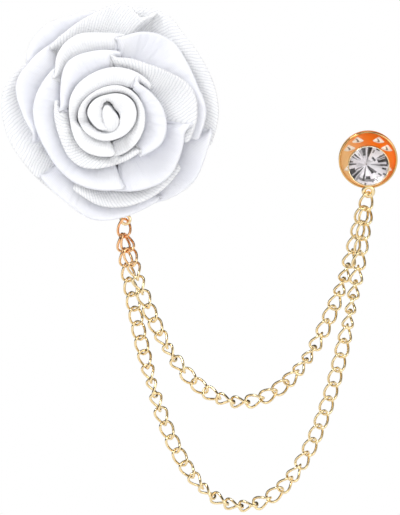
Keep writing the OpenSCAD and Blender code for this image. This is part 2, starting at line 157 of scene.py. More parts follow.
def weave_group():
    tree, given = new_group(
        "Ribbon weave", "ShaderNodeTree",
        [("Rib pitch", REAL, 0.45), ("Thread pitch", REAL, 0.4), ("Slant", REAL, 0.0),
         ("Thread share", REAL, 0.5)], [("Height", REAL), ("Groove", REAL), ("Crease", REAL)])
    calc = partial(math, tree)
    along = add(tree, "ShaderNodeUVMap", uv_map="ribbon").outputs["UV"]
    slant = add(tree, "ShaderNodeVectorRotate", {"Vector": along, "Angle": given["Slant"]},
                rotation_type="Z_AXIS").outputs[0]
    uneven = cloud(tree, along, 0.6, 2.0)
    u, v, _ = add(tree, "ShaderNodeSeparateXYZ", {0: slant}).outputs
    waves = []
    for place, pitch in ((u, "Rib pitch"), (v, "Thread pitch")):
        turn = calc("ADD", calc("DIVIDE", place, given[pitch]), uneven)
        waves.append(calc("ABSOLUTE", calc("SINE", calc("MULTIPLY", turn, pi))))
    ribs, threads = waves
    height = calc("ADD", ribs, calc("MULTIPLY", threads, given["Thread share"]))
    # The grooves' mask, where the materials paint shade
    painted_groove_shade = calc("POWER", calc("SUBTRACT", 1.0, ribs), 2.0)
    crease = cloud(tree, vector(tree, "MULTIPLY", along, (0.42, 0.1, 1.0)), 1.0, 3.0)
    add(tree, "NodeGroupOutput", {"Height": height, "Groove": painted_groove_shade, "Crease": crease})
    return tree


WEAVE = weave_group()
print("node group:", WEAVE.name)

# %% [markdown]
# ## Uneven tone
# Cloth and plated metal are never one even tone. This group gives two soft noises in object
# coordinates, a broad one and a fine one, that each material places with its own scale. A painted
# picture could do it too, but each piece would need its own.

# %% Node group: uneven tone
def tone_group():
    tree, given = new_group(
        "Uneven tone", "ShaderNodeTree",
        [("Broad per metre", REAL, 120.0), ("Fine per metre", REAL, 1500.0)],
        [("Broad", REAL), ("Fine", REAL)])
    place = add(tree, "ShaderNodeTexCoord").outputs["Object"]
    add(tree, "NodeGroupOutput", {"Broad": cloud(tree, place, given["Broad per metre"], 3.0),
                                  "Fine": cloud(tree, place, given["Fine per metre"], 2.0)})
    return tree


TONE = tone_group()
print("node group:", TONE.name)

# %% [markdown]
# ## Ribbon materials
# Satin floats its threads, so it has a broad soft gloss and a cool blue-white tone. The ribbed side
# scatters light, and its grooves get a little painted shade, greyer than the ribs. Both get a tone, a
# roughness and a bump from the groups, and a plain sheen on the shader itself. The three looks are
# lists of the same settings, which is easier to compare than three shaders. Their weave is the pitch
# of ribs and of threads and the threads' share, their groove colour is that painted shade, and their
# bump is a strength and a depth.

# %% Colours and ranges in a material
def remap(tree, value, old=(0.0, 1.0), new=(0.0, 1.0), **settings):
    """A value moved from an old range to a new one."""
    ranges = {"From Min": old[0], "From Max": old[1], "To Min": new[0], "To Max": new[1]}
    return add(tree, "ShaderNodeMapRange", {"Value": value, **ranges}, **settings).outputs[0]


def mix_colour(tree, share, dark, light):
    """From dark to light by share. Each is a colour, or the socket that gives one."""
    ends = {key: end if isinstance(end, bpy.types.NodeSocket) else (*end, 1.0)
            for key, end in (("A", dark), ("B", light))}
    return add(tree, "ShaderNodeMix", {"Factor": share, **ends}, data_type="RGBA").outputs["Result"]


def new_material(name, scales=None):
    """A material, its tree, its shader and the outputs of its own uneven tone."""
    material = bpy.data.materials.new(name)
    material.use_nodes = True
    tree = material.node_tree
    tone = add(tree, "ShaderNodeGroup", scales, node_tree=TONE).outputs
    return material, tree, tree.nodes["Principled BSDF"], tone


print("each new material carries the group", TONE.name)

# %% Ribbon materials
# The colour of the grooves in each look is painted shade.
SATIN_LOOK = {"weave": (0.3, 1.1, 0.15), "tones": ((0.77, 0.78, 0.86), (0.95, 0.955, 0.985)),
              "painted_groove_shade": (0.79, 0.80, 0.86), "rough": (0.36, 0.5), "crease": 0.6,
              "bump": (0.06, 0.02), "sheen": 0.06, "gloss": 0.5}
RIBBED_LOOK = {"weave": (0.62, 0.55, 0.6), "tones": ((0.85, 0.855, 0.88), (0.94, 0.945, 0.955)),
               "painted_groove_shade": (0.82, 0.825, 0.85), "rough": (0.62, 0.75), "crease": 0.25,
               "bump": (0.25, 0.12), "sheen": 0.03, "gloss": 0.3}
SLANTED_LOOK = {**RIBBED_LOOK, "painted_groove_shade": (0.70, 0.71, 0.74), "bump": (0.5, 0.12)}
CREASE_DEPTH, CLOTH_SCATTER = 0.9, 1.2


def ribbon_material(name, look, slant=0):
    """slant turns the weave, in degrees."""
    material, tree, shader, tone = new_material(name)
    ribs, threads, share = look["weave"]
    weave = add(tree, "ShaderNodeGroup", {
        "Slant": radians(slant), "Rib pitch": ribs, "Thread pitch": threads, "Thread share": share},
        node_tree=WEAVE).outputs
    creased = add(tree, "ShaderNodeBump", {
        "Height": weave["Crease"], "Strength": look["crease"], "Distance": CREASE_DEPTH * MM})
    strength, depth = look["bump"]
    bump = add(tree, "ShaderNodeBump", {
        "Height": weave["Height"], "Normal": creased.outputs[0], "Strength": strength,
        "Distance": depth * MM})
    cloth = mix_colour(tree, tone["Broad"], *look["tones"])
    # Painted shade darkens the cloth in the weave's grooves
    feed(tree, shader, {
        "Base Color": mix_colour(tree, weave["Groove"], cloth, look["painted_groove_shade"]),
        "Roughness": remap(tree, tone["Fine"], new=look["rough"]), "Normal": bump.outputs[0],
        "Sheen Weight": look["sheen"], "Sheen Roughness": 0.4, "Specular IOR Level": look["gloss"],
        "Subsurface Weight": 0.4, "Subsurface Radius": (1.0, 1.0, 1.0),
        "Subsurface Scale": CLOTH_SCATTER * MM})
    return material


SATIN = ribbon_material("satin ribbon", SATIN_LOOK)
RIBBED = {slant: ribbon_material(f"ribbed ribbon {slant}", SLANTED_LOOK if slant else RIBBED_LOOK, slant)
          for slant in (-35, 0, 35)}
print("ribbon materials:", 1 + len(RIBBED))

# %% [markdown]
# ## Metal materials
# A plain yellow would look like paint. Metal takes its look from what it mirrors, so its own colour
# is pale and its roughness does the rest. The chains are plated a pale gold, whose roughness varies
# a little where the plating is thin, and which is redder near the rose. The clutch is a deeper
# yellow that turns orange to the upper right, which is a painted reflection.

# %% Metal materials
def gold_material(name, dark, light, roughness, metallic=1.0, aim=None, warm=None):
    """Plated metal, from dark to light in soft patches. With aim it turns across the piece instead, as a
    painted reflection, by a centre, a way and a spread. warm is a redder colour, where it is deepest
    and how far it reaches. Lengths are in millimetres."""
    material, tree, shader, tone = new_material(name, {"Broad per metre": 260.0})
    place, share = add(tree, "ShaderNodeTexCoord").outputs["Object"], tone["Broad"]
    # A turn across the piece is painted reflection, not a tone of the plating
    if aim:
        centre, way, spread = aim
        off = vector(tree, "SUBTRACT", place, [c * MM for c in centre])
        across = vector(tree, "DOT_PRODUCT", off, unit(way).tolist())
        share = remap(tree, across, (-spread * MM, spread * MM), interpolation_type="SMOOTHSTEP")
    colour = mix_colour(tree, share, dark, light)
    if warm:
        blush, centre, reach = warm
        away = vector(tree, "DISTANCE", place, [c * MM for c in centre])
        colour = mix_colour(tree, remap(tree, away, (reach * MM, 0.0)), colour, blush)
    feed(tree, shader, {"Base Color": colour, "Metallic": metallic,
                        "Roughness": remap(tree, tone["Fine"], new=roughness)})
    return material


PALE_GOLD = (0.96, 0.70, 0.35), (1.0, 0.87, 0.56), (0.08, 0.16)
GOLD = gold_material("pale gold", *PALE_GOLD)
CHAIN_GOLD = gold_material("chain gold", *PALE_GOLD, warm=((1.0, 0.50, 0.24), (2.8, -3, -22), 12.0))
print("metals:", GOLD.name, CHAIN_GOLD.name)

# %% [markdown]
# ## How the rose is wound
# The rose is one ribbon, wound inwards from its rim and folded over at each turn. Each row below is
# a fold: where it starts and ends, whether it starts outside its neighbour, which side of the ribbon
# shows, how far its weave is turned, and the radius of its edge as shares of the rose's. The angle
# grows along the ribbon. A rose could also be sculpted, but a table of folds is easy to read and to
# change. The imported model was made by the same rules, so each fold made here sits where the packed
# one is, with finer steps and softer edges.

# %% Sizes and folds of the rose
ROSE_RADIUS, ROSE_DEPTH, RIM_HEIGHT = 22.2, 17.5, 6.0
RIBBON_WALL, LAYER_STEP, HEART_RADIUS, HEART_GAP = 1.0, 1.27, 3.6, 0.13
ROSE_FOOT = 3.3
HEART_CENTRE = np.array([0.056, -0.208]) * HEART_RADIUS
FIRST_LAYER = HEART_RADIUS + np.linalg.norm(HEART_CENTRE) + HEART_GAP + RIBBON_WALL / 2
TUCK_RAMP, TUCK_SINK, CLEAR_EDGE = 34.0, 1.6, 2.4
LOW_CONTROL, HIGH_CONTROL, FLARE_START = 0.6, 0.98, 0.55
DOME_POWER, DOME_REACH = 1.6, 1.1
SATIN_FACE = 0
# name, from, to, over, face (0 is satin, 1 is ribbed), slant, edge
FOLDS = [
    ("rim_upper_left", -980, -928, 1, 0, 0, [0.96, 0.97, 1.01, 0.985, 0.90]),
    ("rim_left", -934, -848, 1, 1, 35, [0.90, 1.01, 0.985, 0.925, 0.90]),
    ("rim_bottom", -856, -782, 0, 0, 0, [0.885, 0.92, 0.995, 0.96, 0.92]),
    ("rim_lower_right", -786, -732, 1, 0, 0, [0.92, 0.965, 0.99, 0.96, 0.95]),
    ("rim_right", -736, -643, 1, 1, -35, [0.97, 0.99, 0.985, 0.975, 0.985, 1.045, 1.0]),
    ("rim_top", -652, -589, 0, 1, -35, [0.88, 1.01, 0.935, 0.87, 0.84]),
    ("upper_left", -593, -521, 1, 0, 0, [0.84, 0.88, 0.915, 0.815, 0.735]),
    ("lower", -474, -400, 1, 1, 35, [0.80, 0.865, 0.875, 0.86, 0.83]),
    ("upper_right", -375, -276, 1, 0, 0, [0.85, 0.88, 0.84, 0.845, 0.87, 0.81, 0.70]),
    ("top", -280, -212, 1, 1, 0, [0.735, 0.745, 0.785, 0.74, 0.615]),
    ("left", -218, -82, 1, 0, 0, [0.67, 0.72, 0.695, 0.73, 0.72]),
    ("lower_right", -88, -10, 1, 0, 0, [0.725, 0.77, 0.80, 0.75, 0.70]),
    ("right", -19, 88, 1, 1, 35, [0.775, 0.80, 0.785, 0.66, 0.57, 0.535, 0.51]),
    ("inner_top", 83, 178, 1, 0, 0, [0.575, 0.595, 0.615, 0.52, 0.465]),
    ("inner_left", 170, 307, 1, 1, -35, [0.53, 0.53, 0.58, 0.50, 0.465]),
    ("inner_right", 306, 411, 1, 0, 0, [0.51, 0.56, 0.51, 0.43, 0.375]),
    ("bud_outer", 394, 634, 1, 1, 0, [0.465, 0.435, 0.405, 0.405, 0.395, 0.44, 0.42]),
    ("bud_middle", 635, 913, 1, 1, 0, [0.42, 0.345, 0.285, 0.25, 0.32]),
    ("bud_inner", 925, 1265, 1, 1, 0, [0.315, 0.27, 0.252, 0.18, 0.23]),
]
TURNS = floor((FOLDS[-1][2] - FOLDS[0][1]) / 360)
print("folds:", len(FOLDS), "turns:", TURNS)

# %% [markdown]
# ## The rules of the winding
# A fold's foot stands on the layers inside it, so its radius is a count of them, and its edge lies
# on a dome. Where an outer edge comes near an inner one it sinks below it, as the sewn ribbon does.

# %% Radius and height of a fold
def smooth(values, share):
    """A value along a list of even samples, on a smooth curve through them."""
    last = len(values) - 1
    place = limit(share, 0, 1) * last
    i = min(floor(place), last - 1)
    t = place - i
    p0, p1, p2, p3 = values[max(i - 1, 0)], values[i], values[i + 1], values[min(i + 2, last)]
    return p1 + t / 2 * (p2 - p0 + t * (2 * p0 - 5 * p1 + 4 * p2 - p3 + t * (3 * (p1 - p2) + p3 - p0)))


def cover(k, angle):
    """How far fold k is there at an angle: 1 along its length, fading to 0 under its neighbours."""
    _, start, end = FOLDS[k][:3]
    return limit((angle - start) / TUCK_RAMP + 1, 0, 1) * limit((end - angle) / TUCK_RAMP + 1, 0, 1)


def base_radius(k, angle):
    """Radius of a fold's foot, by the layers of ribbon inside it."""
    layers = sum(cover(j, angle + 360 * turn) for turn in range(1, TURNS + 1) for j in range(len(FOLDS)))
    if k > 0 and FOLDS[k][3] == 1:
        layers += cover(k - 1, angle)
    if k < len(FOLDS) - 1 and FOLDS[k + 1][3] == 0:
        layers += cover(k + 1, angle)
    return FIRST_LAYER + LAYER_STEP * layers


def edge_radius(k, angle):
    _, start, end = FOLDS[k][:3]
    return ROSE_RADIUS * smooth(FOLDS[k][6], (angle - start) / (end - start))


def dome(radius):
    fall = min(radius / ROSE_RADIUS, DOME_REACH) ** DOME_POWER
    return RIM_HEIGHT + (ROSE_DEPTH - RIM_HEIGHT) * (1 - fall)


def is_inside(j, k, turn):
    beside = (j == k - 1 and FOLDS[k][3] == 1) or (j == k + 1 and FOLDS[j][3] == 0)
    return turn > 0 or beside


@lru_cache(maxsize=None)
def edge_height(k, angle):
    edge = edge_radius(k, angle)
    own = lowest = dome(edge)
    for turn in (0, 1):
        for j in range(len(FOLDS)):
            share = cover(j, angle + 360 * turn) if is_inside(j, k, turn) else 0
            if share > 0:
                space = edge - edge_radius(j, angle + 360 * turn)
                room = edge_height(j, angle + 360 * turn) - TUCK_SINK * (1 - space / CLEAR_EDGE)
                lowest = min(lowest, own - share * max(0, own - room))
    return lowest


print("bud_inner's edge height:", round(edge_height(len(FOLDS) - 1, 1000), 2), "mm")

# %% [markdown]
# ## From a middle surface to cloth
# A fold is modelled as its middle surface first: rows along the ribbon, columns from its foot to its
# edge. It then gets a thickness that swells from nothing at the rim, on a half circle, so the edge
# of the ribbon is soft and round, and its free corners are rounded. A Solidify modifier could give
# the thickness, but it leaves a square rim. Small ripples move the middle surface along its normal,
# as sewing pulls the ribbon in. The UV map is the length along the ribbon and the length up it.

# %% Turn a middle surface into a ribbon
def border_steps(length, step, soft):
    """Places along a length, close together within soft of its free end, where the rim is round."""
    fine = [length - soft * (1 - cos(a)) for a in np.linspace(pi / 2, 0, 7)[:-1]] + [length]
    body = np.linspace(0, length - soft, max(2, ceil((length - soft) / step)) + 1)[:-1]
    return np.array([*body, *fine])


def both_ends(length, step, soft):
    """The same, with two free ends."""
    half = border_steps(length / 2, step, soft)
    return np.unique(np.round(np.concatenate([length / 2 - half, length / 2 + half]), 6))


def put_uv(obj, flat):
    """The UV map of the weave, in millimetres, from one pair of lengths for each point."""
    uv = obj.data.uv_layers.new(name="ribbon")
    corner = np.empty(len(obj.data.loops), int)
    obj.data.loops.foreach_get("vertex_index", corner)
    uv.data.foreach_set("uv", np.array(flat, float)[corner].ravel())


def ribbon_piece(name, middle, ends, tops, wall, material):
    """middle: points of rows by columns. ends and tops: distance of each from the ends and the edge."""
    rows, cols = middle.shape[:2]
    normal = np.cross(np.gradient(middle, axis=0), np.gradient(middle, axis=1))
    normal /= np.linalg.norm(normal, axis=2, keepdims=True) + 1e-12
    rim = np.minimum(ends, tops)
    half = wall / 2 * np.sqrt(1 - (1 - np.clip(rim / (wall / 2), 0, 1)) ** 2)
    outer, inner = middle + normal * half[..., None], middle - normal * half[..., None]
    lengths = np.zeros((rows, cols, 2))
    lengths[1:, :, 0] = np.cumsum(np.linalg.norm(np.diff(middle, axis=0), axis=2), axis=0)
    lengths[:, 1:, 1] = np.cumsum(np.linalg.norm(np.diff(middle, axis=1), axis=2), axis=1)
    lengths[..., 0] = lengths[:, -1:, 0]
    # The two sides share the points of the rim
    own = rim >= 1e-6
    front = np.arange(rows * cols).reshape(rows, cols)
    back = front.copy()
    back[own] = rows * cols + np.arange(own.sum())
    faces = []
    for i in range(rows - 1):
        for j in range(cols - 1):
            corners = [(i, j), (i + 1, j), (i + 1, j + 1), (i, j + 1)]
            faces += [[front[c] for c in corners], [back[c] for c in corners[::-1]]]
        faces.append([back[i, 0], back[i + 1, 0], front[i + 1, 0], front[i, 0]])
    faces = [face for face in faces if len(set(face)) == 4]
    obj = piece(name, [*outer.reshape(-1, 3), *inner[own]], faces, material)
    put_uv(obj, [*lengths.reshape(-1, 2), *lengths[own]])
    return obj


print("places up a wall of 10 mm:", len(border_steps(10.0, 0.5, 0.5)))

# %% [markdown]
# ## Ripples
# Sewn ribbon is never quite even. The ripples are a sum of slow noise along the ribbon, stronger
# near the edge than at the tight foot, and a finer gather that fades upwards. A sculpting brush
# could draw them, but noise gives the same ones each time.

# %% Ripples of sewn ribbon
def ripple(seed, along_mm, share_up, size_mm):
    slow = noise.noise(Vector((along_mm / 6.5, share_up * 1.3, seed * 7.3)))
    gather = noise.noise(Vector((along_mm / 2.2, share_up * 2.0, seed * 3.1 + 50)))
    return size_mm * (slow * (0.25 + share_up) + 0.35 * gather * (1 - share_up))


print("a ripple at an edge:", round(ripple(1, 10.0, 1.0, 0.16), 3), "mm")

# %% [markdown]
# ## Where the bud closes
# In the bud the ribbon is wound so tight that each turn leans in on the one inside it. Its visible
# face then runs from its own edge down to that one's edge, with no well between them. The ribbon is
# also pulled thinner there. The two innermost turns are one length of ribbon, which joins at
# BUD_JOIN and runs on past its row of the table, with the edge of TAIL_EDGE. It is the widest: its
# face rolls in until only a tongue of ribbon fills the middle, with a thin slit at the tongue's right
# side. The radii of that inner rim are in the list below. SHOWN_ENDS says between which angles those
# two turns are an edge to lean on. Any other fold is one as far as UNDER beyond its ends, and fades
# in and out as one over END_FADE.

# %% How far each turn leans in
BUD_INNER, BUD_MIDDLE = len(FOLDS) - 1, len(FOLDS) - 2
BUD_JOIN, BUD_END = 915, 1342
SHOWN_ENDS = {BUD_MIDDLE: (635, 921), BUD_INNER: (909, BUD_END)}
TAIL_EDGE = [(1265, 5.1), (1290, 4.75), (1320, 4.6), (1342, 4.2)]
INNER_RIM = [(916, 4.9), (956, 4.75), (978, 4.4), (1009, 3.7), (1042, 2.45), (1070, 1.9), (1095, 1.4),
             (1125, 1.1), (1160, 1.7), (1189, 2.3), (1220, 1.95), (1250, 1.7), (1265, 1.7),
             (1290, 1.9), (1320, 2.6), (1342, 3.4)]
LEAN_RUN, CLOSE, END_FADE, UNDER, ROLL_EASE = 5.0, 0.12, 6.0, 3.0, 0.05
OPEN_WALL, BUD_WALL, OPEN_FALL, BUD_FALL = 0.9, 0.6, 0.4, 0.15


def wall_of(k):
    """Thickness of a fold's ribbon: doubled and soft in the open folds, pulled tight in the bud."""
    return BUD_WALL if FOLDS[k][0].startswith("bud") else OPEN_WALL


def shown_edge(k, angle):
    if k == BUD_INNER and angle > FOLDS[k][2]:
        return float(np.interp(angle, *zip(*TAIL_EDGE)))
    return edge_radius(k, angle)


def soften(share):
    """A share from 0 to 1 that starts and ends gently."""
    share = np.clip(share, 0, 1)
    return share ** 2 * (3 - 2 * share)


def rim_inside(k, angle):
    """Radius and height that fold k leans in to, or None where nothing lies inside it."""
    if k == BUD_INNER:
        radius = float(np.interp(angle, *zip(*INNER_RIM))) - ROLL_EASE
        return radius, edge_height(k, min(angle, FOLDS[k][2]))
    found = []
    for turn in range(TURNS + 1):
        for j in range(len(FOLDS)):
            start, end = SHOWN_ENDS.get(j, (FOLDS[j][1] - UNDER, FOLDS[j][2] + UNDER))
            there = angle + 360 * turn
            share = limit(min(there - start, end - there) / END_FADE, 0, 1)
            if is_inside(j, k, turn) and share > 0:
                radius = shown_edge(j, there) - (RIBBON_WALL - wall_of(j)) / 2
                found.append((radius, edge_height(j, limit(there, FOLDS[j][1], FOLDS[j][2])), share))
    found.sort()
    rim = found[0][:2] if found else None
    for radius, height, share in found[1:]:
        rim = (rim[0] + (radius - rim[0]) * share, rim[1] + (height - rim[1]) * share)
    return rim


print("the heart's slit is", INNER_RIM[7][1], "mm from the rose's axis")

# %% [markdown]
# ## Folding the rose
# Each fold's wall rises from its foot and flares out to its edge on one curve with four control
# points. An end that is tucked under lies against the neighbour outside it, so that no gap opens
# behind it. The rows are spaced along the edge by its real length, and close up at the two ends.
# Flat, a fold's cloth is as wide as its wall is high and as long as its edge.

# %% The section of a fold
ROW_STEP, FREE_SOFT, CORNER_ROUND, JOINED_ROUND = 0.55, 0.5, 1.1, 0.15
UP_STEP, UP_SOFT = 1 / 26, 0.03
PRESS_RUN, PRESS_SHARE, JOIN_RUN = 10.0, 0.93, 18
SATIN_RIPPLE, RIBBED_RIPPLE = 0.16, 0.12


def wall_curve(foot, tip, height, rim, wall, count=140):
    """Radius and height up a fold, leaning in to the rim inside it where that is further in."""
    u = np.linspace(0, 1, count)
    v = 1 - u
    radius = foot + (tip - foot) * (3 * v * u * u * FLARE_START + u ** 3)
    rise = height * (3 * v * v * u * LOW_CONTROL + 3 * v * u * u * HIGH_CONTROL + u ** 3)
    if rim:
        waist = min(rim[1], height) - (BUD_FALL if wall == BUD_WALL else OPEN_FALL)
        depth = np.interp(waist, rise, radius) - (rim[0] + wall / 2 - CLOSE)
        if depth > 0:
            above = np.clip((height - rise) / (height - waist), 0, 1)
            pull = np.where(rise < waist, soften((rise - waist) / LEAN_RUN + 1),
                            np.sqrt(1 - (1 - above) ** 2))
            radius = radius - depth * pull
    return radius, rise


def section(k, angle):
    held = limit(angle, FOLDS[k][1], FOLDS[k][2])
    return wall_curve(base_radius(k, held), shown_edge(k, angle) - RIBBON_WALL / 2,
                      edge_height(k, held), rim_inside(k, angle), wall_of(k))


def pressed_section(k, angle):
    """A fold's section, which at a tucked end lies against the neighbour outside it."""
    radius, rise = section(k, angle)
    _, start, end, over, *_ = FOLDS[k]
    outside = []
    if k + 1 < len(FOLDS) and FOLDS[k + 1][3] == 1:
        outside.append((k + 1, (angle - end - UNDER) / PRESS_RUN + 1))
    if k > 0 and over == 0:
        outside.append((k - 1, (start - UNDER - angle) / PRESS_RUN + 1))
    for j, near in outside:
        if near > 0:
            there, height = section(j, angle)
            touch = np.interp(rise, height, there) - PRESS_SHARE * (wall_of(j) + wall_of(k)) / 2
            radius = radius + soften(near) * np.maximum(0, touch - radius)
    return radius, rise


def wound_section(angle):
    """The bud's two innermost turns are one length of ribbon, so one section runs into the next."""
    share = soften((angle - BUD_JOIN) / JOIN_RUN + 0.5)
    turns = section(BUD_MIDDLE, angle), section(BUD_INNER, angle)
    return tuple((1 - share) * a + share * b for a, b in zip(*turns))


def length_along(*line):
    """The length from the start of a line, given by its coordinates, to each of its points."""
    return np.concatenate([[0], np.cumsum(np.linalg.norm(np.diff(line, axis=1), axis=0))])


print("the outermost fold's foot is", round(base_radius(0, FOLDS[0][1]), 1), "mm from the rose's axis")

# %% Fold the ribbon
def fold_piece(k):
    name, start, end, _, face, slant, _ = FOLDS[k]
    wound, size, material = k == BUD_MIDDLE, RIBBED_RIPPLE, RIBBED[slant]
    if face == SATIN_FACE:
        size, material = SATIN_RIPPLE, SATIN
    corner = JOINED_ROUND if wound else CORNER_ROUND
    start, end = (start, BUD_END) if wound else (start - UNDER, end + UNDER)
    sample = np.linspace(start, end, 361 if wound else 181)
    radii = np.array([shown_edge(BUD_INNER if wound and a > BUD_JOIN else k, a) for a in sample])
    run = length_along(radii * np.cos(np.radians(sample)), radii * np.sin(np.radians(sample)))
    places = both_ends(run[-1], ROW_STEP, FREE_SOFT)
    tops_at = border_steps(1.0, UP_STEP, UP_SOFT)
    middle = np.zeros((len(places), len(tops_at), 3))
    ends, tops = np.zeros((2, *middle.shape[:2]))
    for i, (place, angle) in enumerate(zip(places, np.interp(places, run, sample))):
        angle = round(float(angle), 3)
        from_end = min(place, run[-1] - place)
        radius, rise = wound_section(angle) if wound else pressed_section(k, angle)
        length = length_along(radius, rise)
        near = max(0.0, corner - from_end)
        drop = corner - sqrt(max(0.0, corner ** 2 - near ** 2))
        reach = (length[-1] - drop) * tops_at
        ends[i], tops[i] = from_end, reach[-1] - reach
        r, h = np.interp(reach, length, radius), np.interp(reach, length, rise)
        push = np.array([ripple(k, place, s, size) for s in tops_at])
        lean_r, lean_h = np.gradient(r), np.gradient(h)
        scale = np.hypot(lean_r, lean_h)
        r, h = r + push * lean_h / scale, h - push * lean_r / scale
        turn = radians(angle)
        middle[i] = np.stack([r * cos(turn), -ROSE_FOOT - h, r * sin(turn)], 1)
    obj = ribbon_piece("ribbon_" + name, middle, ends, tops, wall_of(k), material)
    obj["cut"] = (run[-1], float(length[-1]))
    return obj


def half_surface(obj):
    """Area of one layer of a closed sheet, in square metres."""
    return sum(p.area for p in obj.data.polygons) / 2


def declare_ribbon(obj, *nodes):
    """Hide the CAD nodes that a piece stands for, hang it on the main body, and give the area of one
    layer of its cloth.
    """
    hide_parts(*nodes)
    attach(obj, "main")
    area = half_surface(obj)
    return area


cloth_area = 0.0
for k in range(BUD_INNER):
    nodes = ["fold_" + FOLDS[k][0]] + (["fold_bud_inner", "heart_lobe_1"] if k == BUD_MIDDLE else [])
    cloth_area += declare_ribbon(fold_piece(k), *nodes)
print("ribbon area:", round(cloth_area * 1e4, 1), "square centimetres")

# %% [markdown]
# ## The heart
# The ribbon's end stands as a tongue in the middle of the rose, wide below and bent to the left at
# its top. A bent strip would leave its middle open, so it is a column, domed like a soft roll, with
# its outline as a list of radii round its own middle. It is made as rings of points with faces
# between them. It stands on a wider foot, which closes the slit beside it.

# %% Roll the tongue of the heart
TONGUE_MIDDLE = np.array([0.2, -1.2])
TONGUE = [(0, 1.45), (45, 1.25), (80, 1.5), (103, 2.8), (113, 3.0), (131, 2.6), (150, 2.1), (180, 1.75),
          (229, 1.9), (246, 2.8), (262, 2.85), (295, 2.35), (330, 1.75), (360, 1.45)]
TONGUE_DEPTH, TONGUE_FOOT, TONGUE_TOP, TONGUE_DOME = 8.0, 1.0, 0.975 * ROSE_DEPTH, 1.1
TONGUE_SIDE = [0, 0.5, 0.9, TONGUE_DEPTH]
TONGUE_CUT = (12.0, TONGUE_DEPTH + 1.5)


def band(first, second, count):
    """Faces between two rings of count points, which start at the points first and second."""
    return [(first + i, first + (i + 1) % count, second + (i + 1) % count, second + i)
            for i in range(count)]


def fix_normals(obj):
    work = bmesh.new()
    work.from_mesh(obj.data)
    bmesh.ops.recalc_face_normals(work, faces=work.faces)
    work.to_mesh(obj.data)
    work.free()


def tongue_piece(sides=96, rings=14):
    """A domed column, as rings from the middle of its top out to its rim and down its side."""
    angles = np.linspace(0, 360, sides, endpoint=False)
    radii = np.interp(angles, *zip(*TONGUE))
    wide = np.concatenate([radii[-4:], radii, radii[:4]])
    radii = np.convolve(wide, np.ones(9) / 9, mode="valid")
    (x, z), top = TONGUE_MIDDLE, -ROSE_FOOT - TONGUE_TOP
    points, flat = [(x, top, z)], [(0, 0)]
    for ring in range(1, rings + len(TONGUE_SIDE)):
        out = min(ring / rings, 1.0) * pi / 2
        fall = TONGUE_DOME * (1 - cos(out)) + TONGUE_SIDE[max(0, ring - rings)]
        for radius, angle in zip(radii, np.radians(angles)):
            foot = TONGUE_FOOT * (0.5 - 0.5 * cos(angle)) if ring > rings + 1 else 0
            r = radius * sin(out) + foot
            across, along = r * cos(angle), r * sin(angle)
            bend = 0.05 * noise.noise(Vector((across, along, 9.0)))
            points.append((x + across, top + fall + bend, z + along))
            flat.append((across, along + fall))
    faces = [(0, 1 + (i + 1) % sides, 1 + i) for i in range(sides)]
    for first in range(1, len(points) - sides, sides):
        faces += band(first, first + sides, sides)
    faces.append(tuple(range(len(points) - sides, len(points))))
    obj = piece("heart_tongue", points, faces, RIBBED[0])
    fix_normals(obj)
    put_uv(obj, flat)
    obj["cut"] = TONGUE_CUT
    return obj


declare_ribbon(tongue_piece(), "heart_lobe_2")
print("tongue:", len(TONGUE), "radii")

# %% [markdown]
# ## The base under the folds
# All the folds are sewn to a round of the same ribbon, which covers the plate. It shows only as white
# at the bottom of the slits between them, so a plain round with a little swell is enough.

# %% The sewn base
BASE_RADIUS, BASE_THICK, BASE_SINK = 12.3, 0.6, 0.04


def base_piece(sides=96, rings=10):
    """A closed disc: rings of points from its middle out to its rim, for each of its two sides."""
    points, flat, faces = [], [], []
    shares = [0.02, *np.linspace(0.1, 0.97, rings - 2), 1.0]
    for side in (0, 1):
        for share in shares:
            swell = BASE_THICK * (1.0 if share < 1 else 0.5) * (1 - side)
            for i in range(sides):
                turn = tau * i / sides
                x, z = BASE_RADIUS * share * cos(turn), BASE_RADIUS * share * sin(turn)
                bend = 0 if side else 0.05 * noise.noise(Vector((x / 3, z / 3, 4.0)))
                points.append((x, -ROSE_FOOT + BASE_SINK - swell + bend, z))
                flat.append((x, z))
    back = rings * sides
    for first in range(0, back - sides, sides):
        for side in (first, back + first):
            faces += band(side, side + sides, sides)
    faces += band(0, back, sides) + band(back - sides, 2 * back - sides, sides)
    obj = piece("sewn_base", points, faces, SATIN)
    fix_normals(obj)
    put_uv(obj, flat)
    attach(obj, "main")
    return obj


print("base area:", round(half_surface(base_piece()) * 1e4, 2), "square centimetres")

# %% [markdown]
# ## Chains of twisted links
# A curb chain is one link many times over: an oval of round wire, twisted so that its two ends cross
# the next links almost at a right angle. Geometry Nodes make that link from four sizes and set it at
# every place of the chain, so a change of wire changes all of them. The places come in as points,
# each with the way it runs and the way its flat side lies.

# %% Geometry Nodes: links along a chain
def set_out(tree, given, shape, names, axes):
    """Copies of a shape at the given places, turned by two named vectors, as one smooth mesh."""
    ways = [add(tree, "GeometryNodeInputNamedAttribute", {"Name": name},
                data_type="FLOAT_VECTOR").outputs[0] for name in names]
    aim = add(tree, "FunctionNodeAxesToRotation", {"Primary Axis": ways[0], "Secondary Axis": ways[1]},
              primary_axis=axes[0], secondary_axis=axes[1]).outputs[0]
    made = add(tree, "GeometryNodeInstanceOnPoints",
               {"Points": given["Places"], "Instance": shape, "Rotation": aim}).outputs[0]
    for kind, more in (("SetShadeSmooth", {}), ("RealizeInstances", {}),
                       ("SetMaterial", {"Material": given["Material"]})):
        made = add(tree, "GeometryNode" + kind, {"Geometry": made, **more}).outputs[0]
    return made


